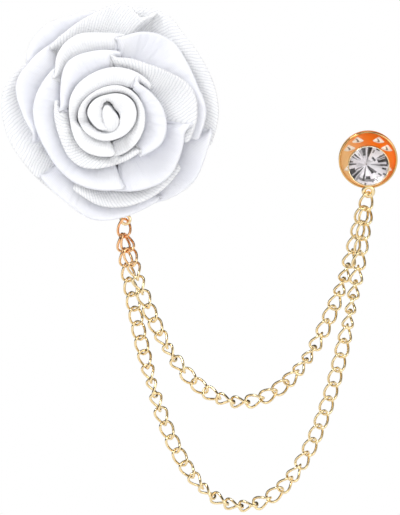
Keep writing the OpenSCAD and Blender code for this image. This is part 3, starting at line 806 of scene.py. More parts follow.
def link_tree():
    tree, given = new_group(
        "Twisted links", "GeometryNodeTree",
        [("Places", SHAPE), ("Length", REAL, 0.004), ("Width", REAL, 0.003), ("Wire", REAL, 0.0004),
         ("Twist", REAL, 0.0007), ("Round steps", WHOLE, 32), ("Wire sides", WHOLE, 10),
         ("Material", METAL)], [("Links", SHAPE)])
    calc = partial(math, tree)

    def half(size):
        return calc("DIVIDE", calc("SUBTRACT", given[size], given["Wire"]), 2.0)

    ring = add(tree, "GeometryNodeCurvePrimitiveCircle", {"Resolution": given["Round steps"]})
    share = add(tree, "GeometryNodeSplineParameter").outputs["Factor"]
    turn = calc("MULTIPLY", share, tau)
    twist = calc("MULTIPLY", calc("SINE", calc("MULTIPLY", turn, 2.0)), given["Twist"])
    oval = add(tree, "ShaderNodeCombineXYZ", {
        0: calc("MULTIPLY", calc("COSINE", turn), half("Length")),
        1: calc("MULTIPLY", calc("SINE", turn), half("Width")), 2: twist})
    bent = add(tree, "GeometryNodeSetPosition",
               {"Geometry": ring.outputs[0], "Position": oval.outputs[0]})
    wire = add(tree, "GeometryNodeCurvePrimitiveCircle",
               {"Resolution": given["Wire sides"], "Radius": calc("DIVIDE", given["Wire"], 2.0)})
    link = add(tree, "GeometryNodeCurveToMesh",
               {"Curve": bent.outputs[0], "Profile Curve": wire.outputs[0]}).outputs[0]
    add(tree, "NodeGroupOutput", {"Links": set_out(tree, given, link, ("run", "flat"), "XY")})
    return tree


LINKS = link_tree()
print("tree:", LINKS.name, [item.name for item in LINKS.interface.items_tree])

# %% Grow a mesh from places and a tree
def baked(obj):
    """A plain mesh of the object as its modifiers leave it."""
    return bpy.data.meshes.new_from_object(obj.evaluated_get(bpy.context.evaluated_depsgraph_get()))


def grow(name, points_mm, attributes, tree, values):
    """A plain mesh object: the tree's result on points that carry named vectors. Its inputs are set
    by their identifiers, before it is first evaluated."""
    mesh = bpy.data.meshes.new(name + " places")
    mesh.from_pydata(metres(points_mm), [], [])
    for key, rows in attributes.items():
        layer = mesh.attributes.new(key, "FLOAT_VECTOR", "POINT")
        layer.data.foreach_set("vector", np.array(rows, float).ravel())
    seed = put(name + " places", mesh)
    modifier = seed.modifiers.new("grow", "NODES")
    modifier.node_group = tree
    for item in tree.interface.items_tree:
        if item.name in values:
            modifier[item.identifier] = values[item.name]
    grown = baked(seed)
    grown.name = name
    seed.modifiers.remove(modifier)
    bpy.data.objects.remove(seed)
    return put(name, grown)


print("inputs by identifier:", [item.identifier for item in LINKS.interface.items_tree
                                if item.in_out == "INPUT"])

# %% [markdown]
# ## How the chains hang
# A free chain hangs on a catenary. A physics run could drop it there, but a formula gives the same
# curve each time. Its bottom radius is found by halving, so that the curve between the two hooks has
# the chain's real length. The hooks are on the rings at the two ends, which hang from the eyelet
# behind the rose and from the loop under the stone.

# %% Sizes of the chains and the places of their ends
LINK_LENGTH, LINK_WIDTH, LINK_WIRE, LINK_TWIST, LINK_PLAY = 4.15, 2.95, 0.45, 0.7, 0.27
OUTER_LINKS, INNER_LINKS, CHAIN_SPREAD = 44, 31, 2.8
LINK_PITCH = LINK_LENGTH - 2 * LINK_WIRE - LINK_PLAY
LINK_REACH = LINK_LENGTH - LINK_WIRE
LINK_OVERLAP = LINK_REACH - LINK_PITCH
TOUCH_GAP = 0.1
STUD_TILT = radians(16)
CUP_RADIUS, CUP_DEPTH, CUP_WALL, LOOP_WIRE, LOOP_RADIUS = 4.2, 3.0, 0.36, 0.68, 0.95
EYELET = np.array([2.8, -2.8, -21.2])
LOOP_DEPTH, LOOP_DROP = CUP_DEPTH / 3, CUP_RADIUS + LOOP_RADIUS + LOOP_WIRE / 2 + TOUCH_GAP


def link_axes(run, roll):
    """The way a link runs, the way its flat side lies, and its thin way."""
    along = unit(run)
    deep = unit(np.array([0, 1, 0]) - along[1] * along)
    flat = np.cross(deep, along)
    c, s = cos(radians(roll)), sin(radians(roll))
    return np.array([along, c * flat + s * deep, c * deep - s * flat])


def ring_slant(aim, roll):
    return unit(np.array([0, (LINK_WIDTH - LINK_WIRE) / 2, 2 * LINK_TWIST]) @ link_axes(aim, roll))


def stud_turn(p):
    c, s = cos(STUD_TILT), sin(STUD_TILT)
    return np.array([p[0], p[1] * c - p[2] * s, p[1] * s + p[2] * c])


LEFT_AIM, LEFT_ROLL = unit([-0.12, -0.14, -0.98]), -10
RIGHT_AIM, RIGHT_ROLL = unit([-0.2, 0.13, -0.97]), -18
HOOK_SPACE, HOOK_DROP = 0.38, LINK_REACH - LINK_OVERLAP / 2
left_top = EYELET + [0, 0, TOUCH_GAP]
left_hook = left_top + HOOK_DROP * LEFT_AIM
loop_offset = stud_turn([0, LOOP_DEPTH, -LOOP_DROP])
STUD = np.array([51.5, left_hook[1] - loop_offset[1], -10.5])
right_top = STUD + loop_offset - [0, 0, TOUCH_GAP]
right_hook = right_top + HOOK_DROP * RIGHT_AIM
left_step = HOOK_SPACE * ring_slant(LEFT_AIM, LEFT_ROLL)
right_step = HOOK_SPACE * ring_slant(RIGHT_AIM, RIGHT_ROLL)
print("stud at", STUD.round(2), "hooks", left_hook.round(2), right_hook.round(2))

# %% Hang the chains
OUTER_ROLL = [(0, -33), (0.05, -25), (0.17, 5), (0.24, 75), (0.30, 15), (0.36, 5), (0.42, 75),
              (0.45, 50), (0.48, 75), (0.54, 10), (0.57, 50), (0.62, 10), (0.78, 10), (0.84, 75),
              (0.87, 65), (0.94, 10), (1, 10)]
INNER_ROLL = [(0, -40), (0.05, 10), (0.10, 60), (0.16, 15), (0.20, 10), (0.27, 75), (0.34, 10),
              (0.38, 10), (0.45, 75), (0.50, 35), (0.56, 10), (0.65, 75), (0.73, 20), (0.76, 15),
              (0.84, 75), (0.93, 10), (1, 8)]
PART_RUN, SWAP_SPAN = 2.5, 0.5


def hang_radius(span, stretch, low=1.0, high=400.0):
    while high - low > 1e-6:
        middle = (low + high) / 2
        if 2 * middle * sinh(span / (2 * middle)) > stretch:
            low = middle
        else:
            high = middle
    return low


def hanging_links(start, end, count, rolls, side):
    """Centre, run and flat way of each link."""
    length, span, rise = count * LINK_PITCH, end[0] - start[0], end[2] - start[2]
    a = hang_radius(span, sqrt(length ** 2 - rise ** 2))
    low_x = (start[0] + end[0]) / 2 - a * atanh(rise / length)
    low_z = start[2] - a * (cosh((start[0] - low_x) / a) - 1)
    first = a * sinh((start[0] - low_x) / a)
    joins = []
    for i in range(count + 1):
        s, share = first + LINK_PITCH * i, i / count
        parted = min(i, count - i, PART_RUN) / PART_RUN
        lean = limit((0.5 - share) / (SWAP_SPAN / 2), -1, 1)
        y = start[1] + (end[1] - start[1]) * share + side * lean * parted * CHAIN_SPREAD / 2
        joins.append([low_x + a * asinh(s / a), y, low_z + sqrt(a * a + s * s) - a])
    joins = np.array(joins)
    shares, turns = zip(*rolls)
    axes = [link_axes(joins[i + 1] - joins[i], np.interp((i + 0.5) / count, shares, turns))
            for i in range(count)]
    return (joins[1:] + joins[:-1]) / 2, [x[0] for x in axes], [x[1] for x in axes]


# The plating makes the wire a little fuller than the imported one
FULLER = 0.08


def links_piece(name, node, places):
    centres, runs, flats = places
    obj = grow(name, centres, {"run": runs, "flat": flats}, LINKS,
               {"Length": (LINK_LENGTH + FULLER) * MM, "Width": (LINK_WIDTH + FULLER) * MM,
                "Wire": (LINK_WIRE + FULLER) * MM, "Twist": LINK_TWIST * MM, "Round steps": 32,
                "Wire sides": 10, "Material": CHAIN_GOLD})
    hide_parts(node)
    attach(obj, "main")
    print(name, "faces:", len(obj.data.polygons))
    return obj


def single_link(top, aim, roll):
    axes = link_axes(aim, roll)
    return [top + LINK_REACH / 2 * axes[0]], [axes[0]], [axes[1]]


links_piece("long_chain", "outer_chain",
            hanging_links(left_hook + left_step, right_hook - right_step, OUTER_LINKS, OUTER_ROLL, 1))
links_piece("short_chain", "inner_chain",
            hanging_links(left_hook - left_step, right_hook + right_step, INNER_LINKS, INNER_ROLL, -1))
links_piece("rose_ring", "left_ring", single_link(left_top, LEFT_AIM, LEFT_ROLL))
links_piece("stud_ring", "right_ring", single_link(right_top, RIGHT_AIM, RIGHT_ROLL))

# %% [markdown]
# ## Turned metal: the cup and the dish
# The stud's cup and the clutch's dish are pressed from sheet, so each is a profile turned round the
# post. A Screw modifier could turn it, but a helper that lists its rings also closes it on the axis
# or round a bore. It rounds the corners with a bevel, because a plated edge always catches a thin
# line of light. A ring of wire is a turned circle.

# %% Turn a profile round the post
def to_stud(points):
    """From the stud's own frame, with the post along +Y, to the part's frame."""
    return [STUD + stud_turn(p) for p in points]


def ring_points(radius, depth, count, first=0.0, centre=(0, 0)):
    return [(centre[0] + radius * cos(tau * (i + first) / count), depth,
             centre[1] + radius * sin(tau * (i + first) / count)) for i in range(count)]


def turned_piece(name, profile, material, steps=96, bevel_mm=0.06, centre=(0, 0), closed=False):
    """profile is rows of radius and depth. A closed one runs round a bore or a wire, and any other
    one starts and ends on the axis."""
    rings = profile if closed else profile[1:-1]
    points = [p for r, depth in rings for p in ring_points(r, depth, steps, centre=centre)]
    count, faces = len(points), []
    for first in range(0, count if closed else count - steps, steps):
        faces += band(first, (first + steps) % count, steps)
    if not closed:
        points += [(0, profile[0][1], 0), (0, profile[-1][1], 0)]
        for tip, first in ((count, 0), (count + 1, count - steps)):
            faces += [(tip, first + i, first + (i + 1) % steps) for i in range(steps)]
    obj = piece(name, to_stud(points), faces, material)
    fix_normals(obj)
    if bevel_mm:
        bevel = obj.modifiers.new("edge", "BEVEL")
        bevel.width, bevel.segments, bevel.limit_method = bevel_mm * MM, 3, "ANGLE"
        bevel.angle_limit = radians(25)
        made = baked(obj)
        obj.modifiers.clear()
        obj.data = made
        made.shade_smooth()
    return obj


def ring_tube(name, centre, radius, wire, material, steps=48, sides=20):
    """A round wire ring in the stud's own frame, facing along the post."""
    x, y, z = centre
    circle = [(radius + out, y + deep) for out, _, deep in ring_points(wire / 2, 0, sides)]
    return turned_piece(name, circle, material, steps, 0, (x, z), closed=True)


def join(name, objects):
    """One piece from several meshes, which keep their own materials."""
    work, materials = bmesh.new(), []
    for obj in objects:
        metal = [m for m in obj.data.materials if m][0]
        if metal not in materials:
            materials.append(metal)
        first = len(work.faces)
        work.from_mesh(obj.data)
        work.faces.ensure_lookup_table()
        for face in work.faces[first:]:
            face.material_index = materials.index(metal)
    mesh = bpy.data.meshes.new(name)
    work.to_mesh(mesh)
    work.free()
    for material in materials:
        mesh.materials.append(material)
    mesh.shade_smooth()
    for obj in objects:
        bpy.data.objects.remove(obj)
    return put(name, mesh)


print("the post points along", stud_turn([0, 1, 0]).round(3))

# %% The cup with its loop and post
SEAT, GIRDLE = CUP_RADIUS - 0.17, CUP_RADIUS - 0.2
CUP_FLOOR, CUP_LIP, POST_START = CUP_DEPTH - CUP_WALL, 0.1, CUP_DEPTH - 0.2
POST_RADIUS, FREE_RADIUS, FREE_START, FREE_END, POST_END = 0.5, 0.33, 9.2, 11.2, 12.6
cup = turned_piece("cup", [(0, CUP_FLOOR), (1.0, CUP_FLOOR), (SEAT, CUP_WALL), (SEAT, -CUP_LIP),
                           (CUP_RADIUS - 0.06, -CUP_LIP), (CUP_RADIUS, CUP_LIP),
                           (0.86 * CUP_RADIUS, CUP_DEPTH), (0, CUP_DEPTH)], GOLD)
post = turned_piece("post", [(0, POST_START), (POST_RADIUS, POST_START), (POST_RADIUS, FREE_START),
                             (FREE_RADIUS, FREE_START), (FREE_RADIUS, FREE_END), (0.1, POST_END),
                             (0, POST_END)], GOLD, steps=32, bevel_mm=0.03)
loop = ring_tube("loop", (0, LOOP_DEPTH, -LOOP_DROP + 0.05), LOOP_RADIUS - 0.02, LOOP_WIRE + 0.2, GOLD)
neck = ring_tube("neck", (0, LOOP_DEPTH, -CUP_RADIUS + 0.05), 0.35, 0.6, GOLD, steps=24, sides=12)
setting = join("stud_cup", [cup, post, loop, neck])
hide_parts("stud_setting")
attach(setting, "main")
print("cup faces:", len(setting.data.polygons))

# %% [markdown]
# ## The cut stone
# A round stone is cut with a flat table, a crown of facets, a thin girdle and a pavilion that ends
# near a point. Sharp, flat facets make it, so it is shaded flat, and so is the faceted foil behind
# it, whose bright and dark wedges of painted reflection meet at the middle and give glass its
# starburst. Lamps shine through the glass freely, so the foil under it is lit as it is in the air.

# %% Glass and foil
def change_for(ray, tree, shader, other):
    """The shader for every ray but one kind, which meets another shader."""
    kind = add(tree, "ShaderNodeLightPath").outputs[ray]
    both = add(tree, "ShaderNodeMixShader", {0: kind, 1: shader.outputs[0], 2: other.outputs[0]})
    feed(tree, tree.nodes["Material Output"], {"Surface": both.outputs[0]})


def glass_material():
    material, tree, shader, tone = new_material("clear glass")
    feed(tree, shader, {
        "Base Color": (1.0, 0.98, 0.985, 1.0), "IOR": 1.2, "Transmission Weight": 1.0,
        "Coat Weight": 0.5, "Coat Roughness": 0.02, "Coat IOR": 1.5,
        "Roughness": remap(tree, tone["Fine"], new=(0.0, 0.02))})
    change_for("Is Shadow Ray", tree, shader, add(tree, "ShaderNodeBsdfTransparent"))
    return material


def foil_material():
    """Painted reflection: bright or dark by wedge, from the piece's own attribute, with a little
    crinkle.
    """
    material, tree, shader, tone = new_material("stone foil with painted reflection", {"Fine per metre": 700.0})
    shine = add(tree, "ShaderNodeAttribute", attribute_name="shine").outputs["Fac"]
    uneven = math(tree, "MULTIPLY_ADD", tone["Fine"], 0.3, math(tree, "SUBTRACT", shine, 0.15))
    feed(tree, shader, {
        "Base Color": mix_colour(tree, uneven, (0.006, 0.004, 0.005), (0.98, 0.96, 1.0)),
        "Metallic": 0.3, "Roughness": 0.3})
    return material


GLASS, FOIL = glass_material(), foil_material()
print("stone materials:", GLASS.name, FOIL.name)

# %% The stone
CROWN = 1.1
# radius, depth, number of points and how far they are turned, from the table to the tip
STONE_ROWS = [(0.52 * GIRDLE, -CROWN, 8, 0.5), (0.8 * GIRDLE, -0.62 * CROWN, 8), (GIRDLE, -0.05, 16),
              (GIRDLE, 0.32, 16), (0.55 * GIRDLE, 1.25, 8, 0.5), (0.4, 2.1, 8)]


def cut_stone():
    work = bmesh.new()
    for p in to_stud([p for row in STONE_ROWS for p in ring_points(*row)]):
        work.verts.new(p * MM)
    hull = bmesh.ops.convex_hull(work, input=work.verts)
    loose = [g for g in hull["geom_interior"] + hull["geom_unused"] if isinstance(g, bmesh.types.BMVert)]
    bmesh.ops.delete(work, geom=loose, context="VERTS")
    bmesh.ops.dissolve_limit(work, angle_limit=radians(2), verts=work.verts, edges=work.edges)
    bmesh.ops.recalc_face_normals(work, faces=work.faces)
    mesh = bpy.data.meshes.new("cut_stone")
    work.to_mesh(mesh)
    work.free()
    mesh.materials.append(GLASS)
    return put("cut_stone", mesh)


stone = cut_stone()
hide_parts("stone")
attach(stone, "main")
print("stone facets:", len(stone.data.polygons))

# %% [markdown]
# ## The starburst
# In a real stone, light that bounces between the facets makes this pattern. Modelled facets would
# bounce it into another one, so the wedges are charted, as painted reflection on the foil. Each
# row is a direction in degrees, how wide the wedge is, where it starts and ends between the middle
# and the rim, and how bright it is. A wedge widens outwards. Where two wedges cross, the later row
# wins. What no row covers is a light grey, whose painted reflection changes a little from one of the
# sixteen facets to the next.

# %% Foil wedges behind the stone
#   towards, width, from, to, brightness of the painted reflection
PAINTED_WEDGES = [
    (58, 40, 0.30, 0.98, 1.0), (135, 26, 0.35, 0.9, 1.0), (160, 16, 0.25, 0.95, 0.9),
    (188, 10, 0.55, 1.0, 0.9), (-32, 26, 0.45, 0.95, 0.75), (-75, 60, 0.84, 1.0, 0.8),
    (-110, 18, 0.60, 0.95, 0.7), (-62, 24, 0.30, 0.75, 0.72), (-90, 80, 0.70, 0.84, 0.22),
    (84, 11, 0.42, 0.98, 0.02), (84, 4, 0.10, 0.45, 0.12), (107, 17, 0.46, 0.96, 0.05),
    (95, 6, 0.30, 0.97, 0.95), (116, 5, 0.35, 0.95, 0.6), (112, 3, 0.55, 0.9, 0.3),
    (141, 6, 0.42, 0.85, 0.03), (152, 4, 0.60, 0.95, 0.08), (176, 5, 0.50, 0.98, 0.03),
    (168, 4, 0.75, 1.0, 0.1), (202, 17, 0.66, 1.0, 0.01), (205, 5, 0.30, 0.66, 0.15),
    (220, 9, 0.22, 0.97, 0.02), (213, 4, 0.5, 1.0, 0.5), (232, 6, 0.60, 0.95, 0.25),
    (253, 8, 0.16, 0.80, 0.02), (306, 30, 0.08, 0.52, 0.0), (318, 10, 0.30, 0.60, 0.12),
    (272, 22, 0.57, 0.67, 0.03), (1, 5, 0.20, 0.96, 0.03), (20, 17, 0.50, 0.97, 0.05),
    (26, 4, 0.60, 0.90, 0.7), (42, 28, 0.40, 0.47, 0.06), (60, 12, 0.90, 1.0, 0.05),
    (37, 5, 0.60, 1.0, 0.15), (348, 5, 0.72, 0.9, 0.04), (330, 5, 0.80, 0.97, 0.06),
    (8, 9, 0.86, 1.0, 0.05), (291, 5, 0.35, 0.60, 0.75), (240, 12, 0.86, 1.0, 0.75),
    (315, 14, 0.80, 0.98, 0.9), (300, 7, 0.76, 0.93, 0.12), (284, 6, 0.72, 0.9, 0.3),
    (262, 5, 0.86, 0.98, 0.1), (322, 5, 0.66, 0.8, 0.1), (70, 5, 0.62, 0.8, 0.3),
    (130, 4, 0.6, 0.8, 0.25),
]
STAR_CENTRE = (-0.45, -0.1)
FOIL_RADIUS, FOIL_TIP, FOIL_FRONT, FOIL_FALL, FOIL_THICK = 0.985 * SEAT, 0.03, 0.42, 1.95, 0.12
# The foil's grey and its swing from facet to facet are painted reflection
FACET, FOIL_GREY, FACET_REFLECTION_SWING, FOIL_BACK = 22.5, 0.68, 0.40, 0.4


# Painted reflection on the foil, at a direction and a share of its radius
def painted_reflection_at(towards, share):
    facet = floor((towards + FACET / 2) / FACET) % 16
    shine = FOIL_GREY + FACET_REFLECTION_SWING * noise.noise(Vector((facet * 3.7, share * 2.5, 1.0)))
    for middle, width, start, end, bright in PAINTED_WEDGES:
        off = abs((towards - middle + 180) % 360 - 180)
        if start <= share <= end and off <= width / 2:
            shine = bright
    return shine


def foil_piece(sectors=120, rings=16):
    """A shallow cone from the rim of the seat to the star's centre, closed behind."""
    points, faces, shine = [], [], []
    for side in (0, 1):
        for share in np.linspace(1, FOIL_TIP, rings + 1):
            centre = [c * (1 - share) for c in STAR_CENTRE]
            depth = FOIL_FRONT + FOIL_FALL * (1 - share) + FOIL_THICK * side
            points += ring_points(FOIL_RADIUS * share, depth, sectors, centre=centre)
    back = (rings + 1) * sectors
    for ring in range(rings):
        first, share = ring * sectors, 1 - (1 - FOIL_TIP) * (ring + 0.5) / rings
        faces += band(first, first + sectors, sectors)
        shine += [painted_reflection_at(360 * (i + 0.5) / sectors, share) for i in range(sectors)]
    for ring in range(rings):
        faces += band(back + ring * sectors, back + (ring + 1) * sectors, sectors)
    faces += band(0, back, sectors) + band(rings * sectors, back + rings * sectors, sectors)
    shine += [FOIL_BACK] * (len(faces) - len(shine))
    obj = piece("stone_foil", to_stud(points), faces, FOIL, smooth=False)
    fix_normals(obj)
    obj.data.attributes.new("shine", "FLOAT", "FACE").data.foreach_set("value", shine)
    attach(obj, "main")


foil_piece()
print("foil wedges:", len(PAINTED_WEDGES))

# %% [markdown]
# ## The pinched clutch
# Its dish is a pressed disc with a rolled rim and eight small raised points in pairs, which grip the
# cloth of the lapel. The points repeat, so Geometry Nodes press them: each is a low cone pulled into
# three soft corners, with a small bent stroke of painted shade in its middle where a dent would be.
# Their tops are a pale cream, which is painted highlight on the gold. The dish is an orange gold, and
# it runs from tan at the left to a deep orange at the upper right as a painted reflection.

# %% The clutch's metal
def point_gold_painted_light():
    """Cream on top as a painted highlight, and dark as painted shade where the dent is, from the points'
    own attribute.
    """
    material, tree, shader, tone = new_material("point gold with painted light")
    painted_dent_shade = add(tree, "ShaderNodeAttribute", attribute_name="painted_dent_shade").outputs["Fac"]
    feed(tree, shader, {
        # The cream is painted highlight and the dark is painted shade in the dent
        "Base Color": mix_colour(tree, painted_dent_shade, (1.0, 0.96, 0.84), (0.12, 0.06, 0.03)),
        "Roughness": remap(tree, tone["Fine"], new=(0.24, 0.34)), "Metallic": 0.0})
    return material


# The dish's sweep from tan to orange is painted reflection on an orange gold
DISH_GOLD_PAINTED_REFLECTION = gold_material("orange gold with painted reflection", (1.0, 0.66, 0.30), (1.0, 0.22, 0.008), (0.34, 0.44),
                          metallic=0.15,
                          aim=((STUD + [-0.4, 0, 2.0]).tolist(), (0.75, 0, 0.66), 3.6))
RIM_GOLD = gold_material("rim gold", (0.62, 0.40, 0.18), (1.0, 0.64, 0.26), (0.10, 0.18))
WING_GOLD = gold_material("deep gold", (0.78, 0.42, 0.10), (0.90, 0.55, 0.18), (0.2, 0.32))
POINT_GOLD_PAINTED_LIGHT = point_gold_painted_light()
print("clutch metals:", DISH_GOLD_PAINTED_REFLECTION.name, WING_GOLD.name)

# %% Geometry Nodes: raised points in a ring
CLUTCH_RADIUS, CLUTCH_THICK, CLUTCH_RIM, DISH_FRONT, BORE = 5.93, 0.45, 0.95, 5.4, 0.55
POINT_HEIGHT, FIRST_PAIR, PAIR_HALF, POINT_SINK = 0.45, 45.0, 16.0, 0.05
POINT_RING, POINT_LONG, POINT_WIDE = (CLUTCH_RADIUS * share for share in (0.72, 0.17, 0.22))


def points_tree():
    tree, given = new_group(
        "Raised points", "GeometryNodeTree",
        [("Places", SHAPE), ("Long", REAL, 0.0015), ("Wide", REAL, 0.0021), ("High", REAL, 0.0006),
         ("Material", METAL)], [("Points", SHAPE)])
    calc = partial(math, tree)
    cone = add(tree, "GeometryNodeMeshCone", {"Vertices": 32, "Side Segments": 9, "Radius Top": 0.1,
                                              "Radius Bottom": 1.0, "Depth": 1.0})
    place = add(tree, "GeometryNodeInputPosition").outputs[0]
    x, y, z = add(tree, "ShaderNodeSeparateXYZ", {0: place}).outputs
    # Outwards the round foot becomes a straight-sided corner, inwards it is shallow
    outer, inner = calc("MAXIMUM", x, 0.0), calc("MINIMUM", x, 0.0)
    taper = calc("SQRT", calc("DIVIDE", calc("SUBTRACT", 1.0, outer), calc("ADD", 1.0, outer)))
    long = calc("MULTIPLY_ADD", inner, 0.45, outer)
    round_off = calc("SUBTRACT", z, calc("MULTIPLY", calc("MULTIPLY", z, z), 0.25))
    shaped = add(tree, "ShaderNodeCombineXYZ", {
        0: calc("MULTIPLY", long, given["Long"]),
        1: calc("MULTIPLY", calc("MULTIPLY", y, taper), given["Wide"]),
        2: calc("MULTIPLY", round_off, given["High"])})
    # The dent is only painted shade, a short bent stroke: near a curve across the point, and not too far
    # out along it
    curve = calc("MULTIPLY_ADD", calc("MULTIPLY", x, x), 1.6, -0.05)
    near = remap(tree, calc("ABSOLUTE", calc("SUBTRACT", y, curve)), (0.24, 0.06))
    reach = remap(tree, calc("ABSOLUTE", calc("SUBTRACT", x, 0.1)), (0.5, 0.34))
    painted_dent_shade = add(tree, "GeometryNodeStoreNamedAttribute",
               {"Geometry": cone.outputs[0], "Name": "painted_dent_shade", "Value": calc("MULTIPLY", near, reach)},
               data_type="FLOAT", domain="POINT")
    bent = add(tree, "GeometryNodeSetPosition",
               {"Geometry": painted_dent_shade.outputs[0], "Position": shaped.outputs[0]}).outputs[0]
    add(tree, "NodeGroupOutput", {"Points": set_out(tree, given, bent, ("up", "out"), "ZX")})
    return tree


def raised_points():
    angles = [radians(FIRST_PAIR + 90 * pair + half)
              for pair in range(4) for half in (-PAIR_HALF, PAIR_HALF)]
    places = [(POINT_RING * cos(a), DISH_FRONT + POINT_SINK, POINT_RING * sin(a)) for a in angles]
    outs = [stud_turn(unit([0.25 * cos(a), 0, 1 if sin(a) > -0.5 else -1])) for a in angles]
    ups = [stud_turn([0, -1, 0])] * len(angles)
    return grow("dish_points", to_stud(places), {"out": outs, "up": ups}, points_tree(),
                {"Long": POINT_LONG * MM, "Wide": POINT_WIDE * MM, "High": POINT_HEIGHT * MM,
                 "Material": POINT_GOLD_PAINTED_LIGHT})


points = raised_points()
print("raised points, faces:", len(points.data.polygons))

# %% The dish
LIP = 0.2
ROLL_DEPTH, DISH_BACK = DISH_FRONT - CLUTCH_RIM + LIP, DISH_FRONT + CLUTCH_THICK
roll = [(CLUTCH_RADIUS - LIP - LIP * cos(a), ROLL_DEPTH - LIP * sin(a)) for a in np.linspace(0, pi, 9)]
dish = turned_piece("dish", [
    (BORE, DISH_FRONT), (CLUTCH_RADIUS - 3 * LIP, DISH_FRONT),
    (CLUTCH_RADIUS - 2.2 * LIP, DISH_FRONT - LIP), *roll, (CLUTCH_RADIUS, DISH_FRONT),
    (CLUTCH_RADIUS - LIP, DISH_BACK), (BORE, DISH_BACK)], DISH_GOLD_PAINTED_REFLECTION, 128, 0.05, closed=True)
rim = ring_tube("rim", (0, ROLL_DEPTH, 0), CLUTCH_RADIUS - LIP, 2 * LIP + 0.01, RIM_GOLD, steps=128)
clutch_dish = join("dish_with_points", [dish, rim, points])
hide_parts("clutch_dish")
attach(clutch_dish, "clutch")
print("dish faces:", len(clutch_dish.data.polygons))

# %% [markdown]
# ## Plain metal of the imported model
# The plate, bar pin, strap and eyelet behind the rose, and the clutch's grip and wings, have the right
# shape already, so they only get a metal.

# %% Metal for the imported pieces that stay
for node, metal in (("brooch_back", GOLD), ("clutch_wings", WING_GOLD)):
    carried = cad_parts[node]
    for slot in carried.material_slots:
        slot.material = metal
    print("metal on", node)

# %% [markdown]
# ## Floor, light and camera
# The thing is photographed on pure white, so the world is white to the camera. Cloth is lit by a
# white tent, with dark flags level with the rose, which draw its rims. Metal needs dark things to
# mirror, so its rays see white cards low and to the right, and black ones above and to the left.
# Three weak soft lights add a little shape, the key light from the upper left. The floor is plain
# and pale, well below the chain.

# %% World and floor
# Brightness by a direction's share of an axis, from -1 to 1, as rows of place and grey
TENT_BACKWARDS = [(0.0, 1.06), (0.2, 1.02), (0.38, 0.70), (0.5, 0.10), (0.62, 0.4), (0.8, 0.95),
                  (1.0, 1.1)]
TENT_UPWARDS = [(0.0, 0.93), (0.5, 1.0), (1.0, 1.1)]
CARDS_SLANTED = [(0.0, 0.7), (0.25, 1.5), (0.51, 1.4), (0.59, 0.4), (0.69, 0.03), (0.82, 0.15),
                 (1.0, 0.7)]
CARDS_BACKWARDS = [(0.0, 1.0), (0.36, 1.0), (0.46, 0.5), (0.56, 0.12), (0.75, 0.3), (1.0, 0.8)]
CARD_SLANT = (-0.45, 0.0, 0.89)
FLOOR_HALF, FLOOR_HEIGHT = 3000, -125


def grey_ramp(tree, value, stops):
    """The brightness that a row of stops gives at a value from -1 to 1."""
    ramp = add(tree, "ShaderNodeValToRGB", {0: remap(tree, value, (-1.0, 1.0))})
    marks = ramp.color_ramp.elements
    for mark, (at, grey) in zip(marks, (stops[0], stops[-1])):
        mark.position, mark.color = at, (grey, grey, grey, 1)
    for at, grey in stops[1:-1]:
        marks.new(at).color = (grey, grey, grey, 1)
    return ramp.outputs[0]


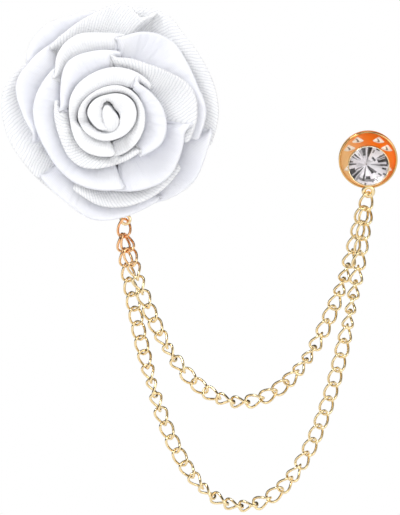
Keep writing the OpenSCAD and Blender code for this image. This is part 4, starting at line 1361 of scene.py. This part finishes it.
def studio_world():
    world = bpy.data.worlds.new("studio")
    world.use_nodes = True
    tree = world.node_tree
    place = add(tree, "ShaderNodeTexCoord").outputs["Generated"]
    _, y, z = add(tree, "ShaderNodeSeparateXYZ", {0: place}).outputs
    ray = add(tree, "ShaderNodeLightPath").outputs
    slant = vector(tree, "DOT_PRODUCT", place, CARD_SLANT)
    tent = math(tree, "MULTIPLY", grey_ramp(tree, y, TENT_BACKWARDS), grey_ramp(tree, z, TENT_UPWARDS))
    cards = math(tree, "MULTIPLY", grey_ramp(tree, slant, CARDS_SLANTED),
                 grey_ramp(tree, y, CARDS_BACKWARDS))
    soft = math(tree, "MAXIMUM", ray["Is Diffuse Ray"], ray["Is Transmission Ray"])
    room = add(tree, "ShaderNodeMix", {"Factor": soft, "A": cards, "B": tent}).outputs[0]
    seen = mix_colour(tree, ray["Is Camera Ray"], room, (1, 1, 1))
    feed(tree, tree.nodes["Background"], {"Color": seen})
    bpy.context.scene.world = world


def floor_piece():
    material, tree, shader, tone = new_material("pale floor", {"Broad per metre": 3.0})
    feed(tree, shader, {"Base Color": mix_colour(tree, tone["Broad"], (0.90,) * 3, (0.93,) * 3),
                        "Roughness": 0.8})
    change_for("Is Camera Ray", tree, shader,
               add(tree, "ShaderNodeEmission", {"Color": (1, 1, 1, 1), "Strength": 1.0}))
    corners = [(x * FLOOR_HALF, y * FLOOR_HALF, FLOOR_HEIGHT)
               for x, y in ((-1, -1), (1, -1), (1, 1), (-1, 1))]
    piece("floor", corners, [(0, 1, 2, 3)], material)


studio_world()
floor_piece()
print("floor", -FLOOR_HEIGHT, "mm below the middle of the rose")

# %% Lights
LIGHT_AIM = (10, 0, -20)


def soft_light(name, place_mm, size_mm, watts):
    data = bpy.data.lights.new(name, "AREA")
    data.shape, data.size, data.energy = "DISK", size_mm * MM, watts
    place, aim = (Vector([c * MM for c in spot]) for spot in (place_mm, LIGHT_AIM))
    turn = (aim - place).to_track_quat("-Z", "Y").to_matrix().to_4x4()
    put(name, data).matrix_world = Matrix.Translation(place) @ turn


soft_light("key", (-260, -330, 300), 180, 0.85)
soft_light("fill", (330, -380, 60), 260, 0.25)
soft_light("top", (30, -60, 420), 220, 0.2)

# %% Camera
CAMERA_DISTANCE, PHOTO_HEIGHT, CHAIN_DEPTH, PHOTO_CENTRE = 1.2, 0.103, -0.006, (0.01774, -0.0288)


def studio_camera():
    data = bpy.data.cameras.new("camera")
    data.sensor_width, data.clip_start, data.clip_end = 36.0, 0.01, 20.0
    data.lens = data.sensor_width * CAMERA_DISTANCE / PHOTO_HEIGHT
    camera = put("camera", data)
    camera.location = (PHOTO_CENTRE[0], CHAIN_DEPTH - CAMERA_DISTANCE, PHOTO_CENTRE[1])
    camera.rotation_euler = (pi / 2, 0, 0)
    bpy.context.scene.camera = camera


studio_camera()
bpy.context.scene.view_settings.view_transform = "Standard"
print("camera looks along +Y from", round(bpy.context.scene.camera.location.y, 3), "m")
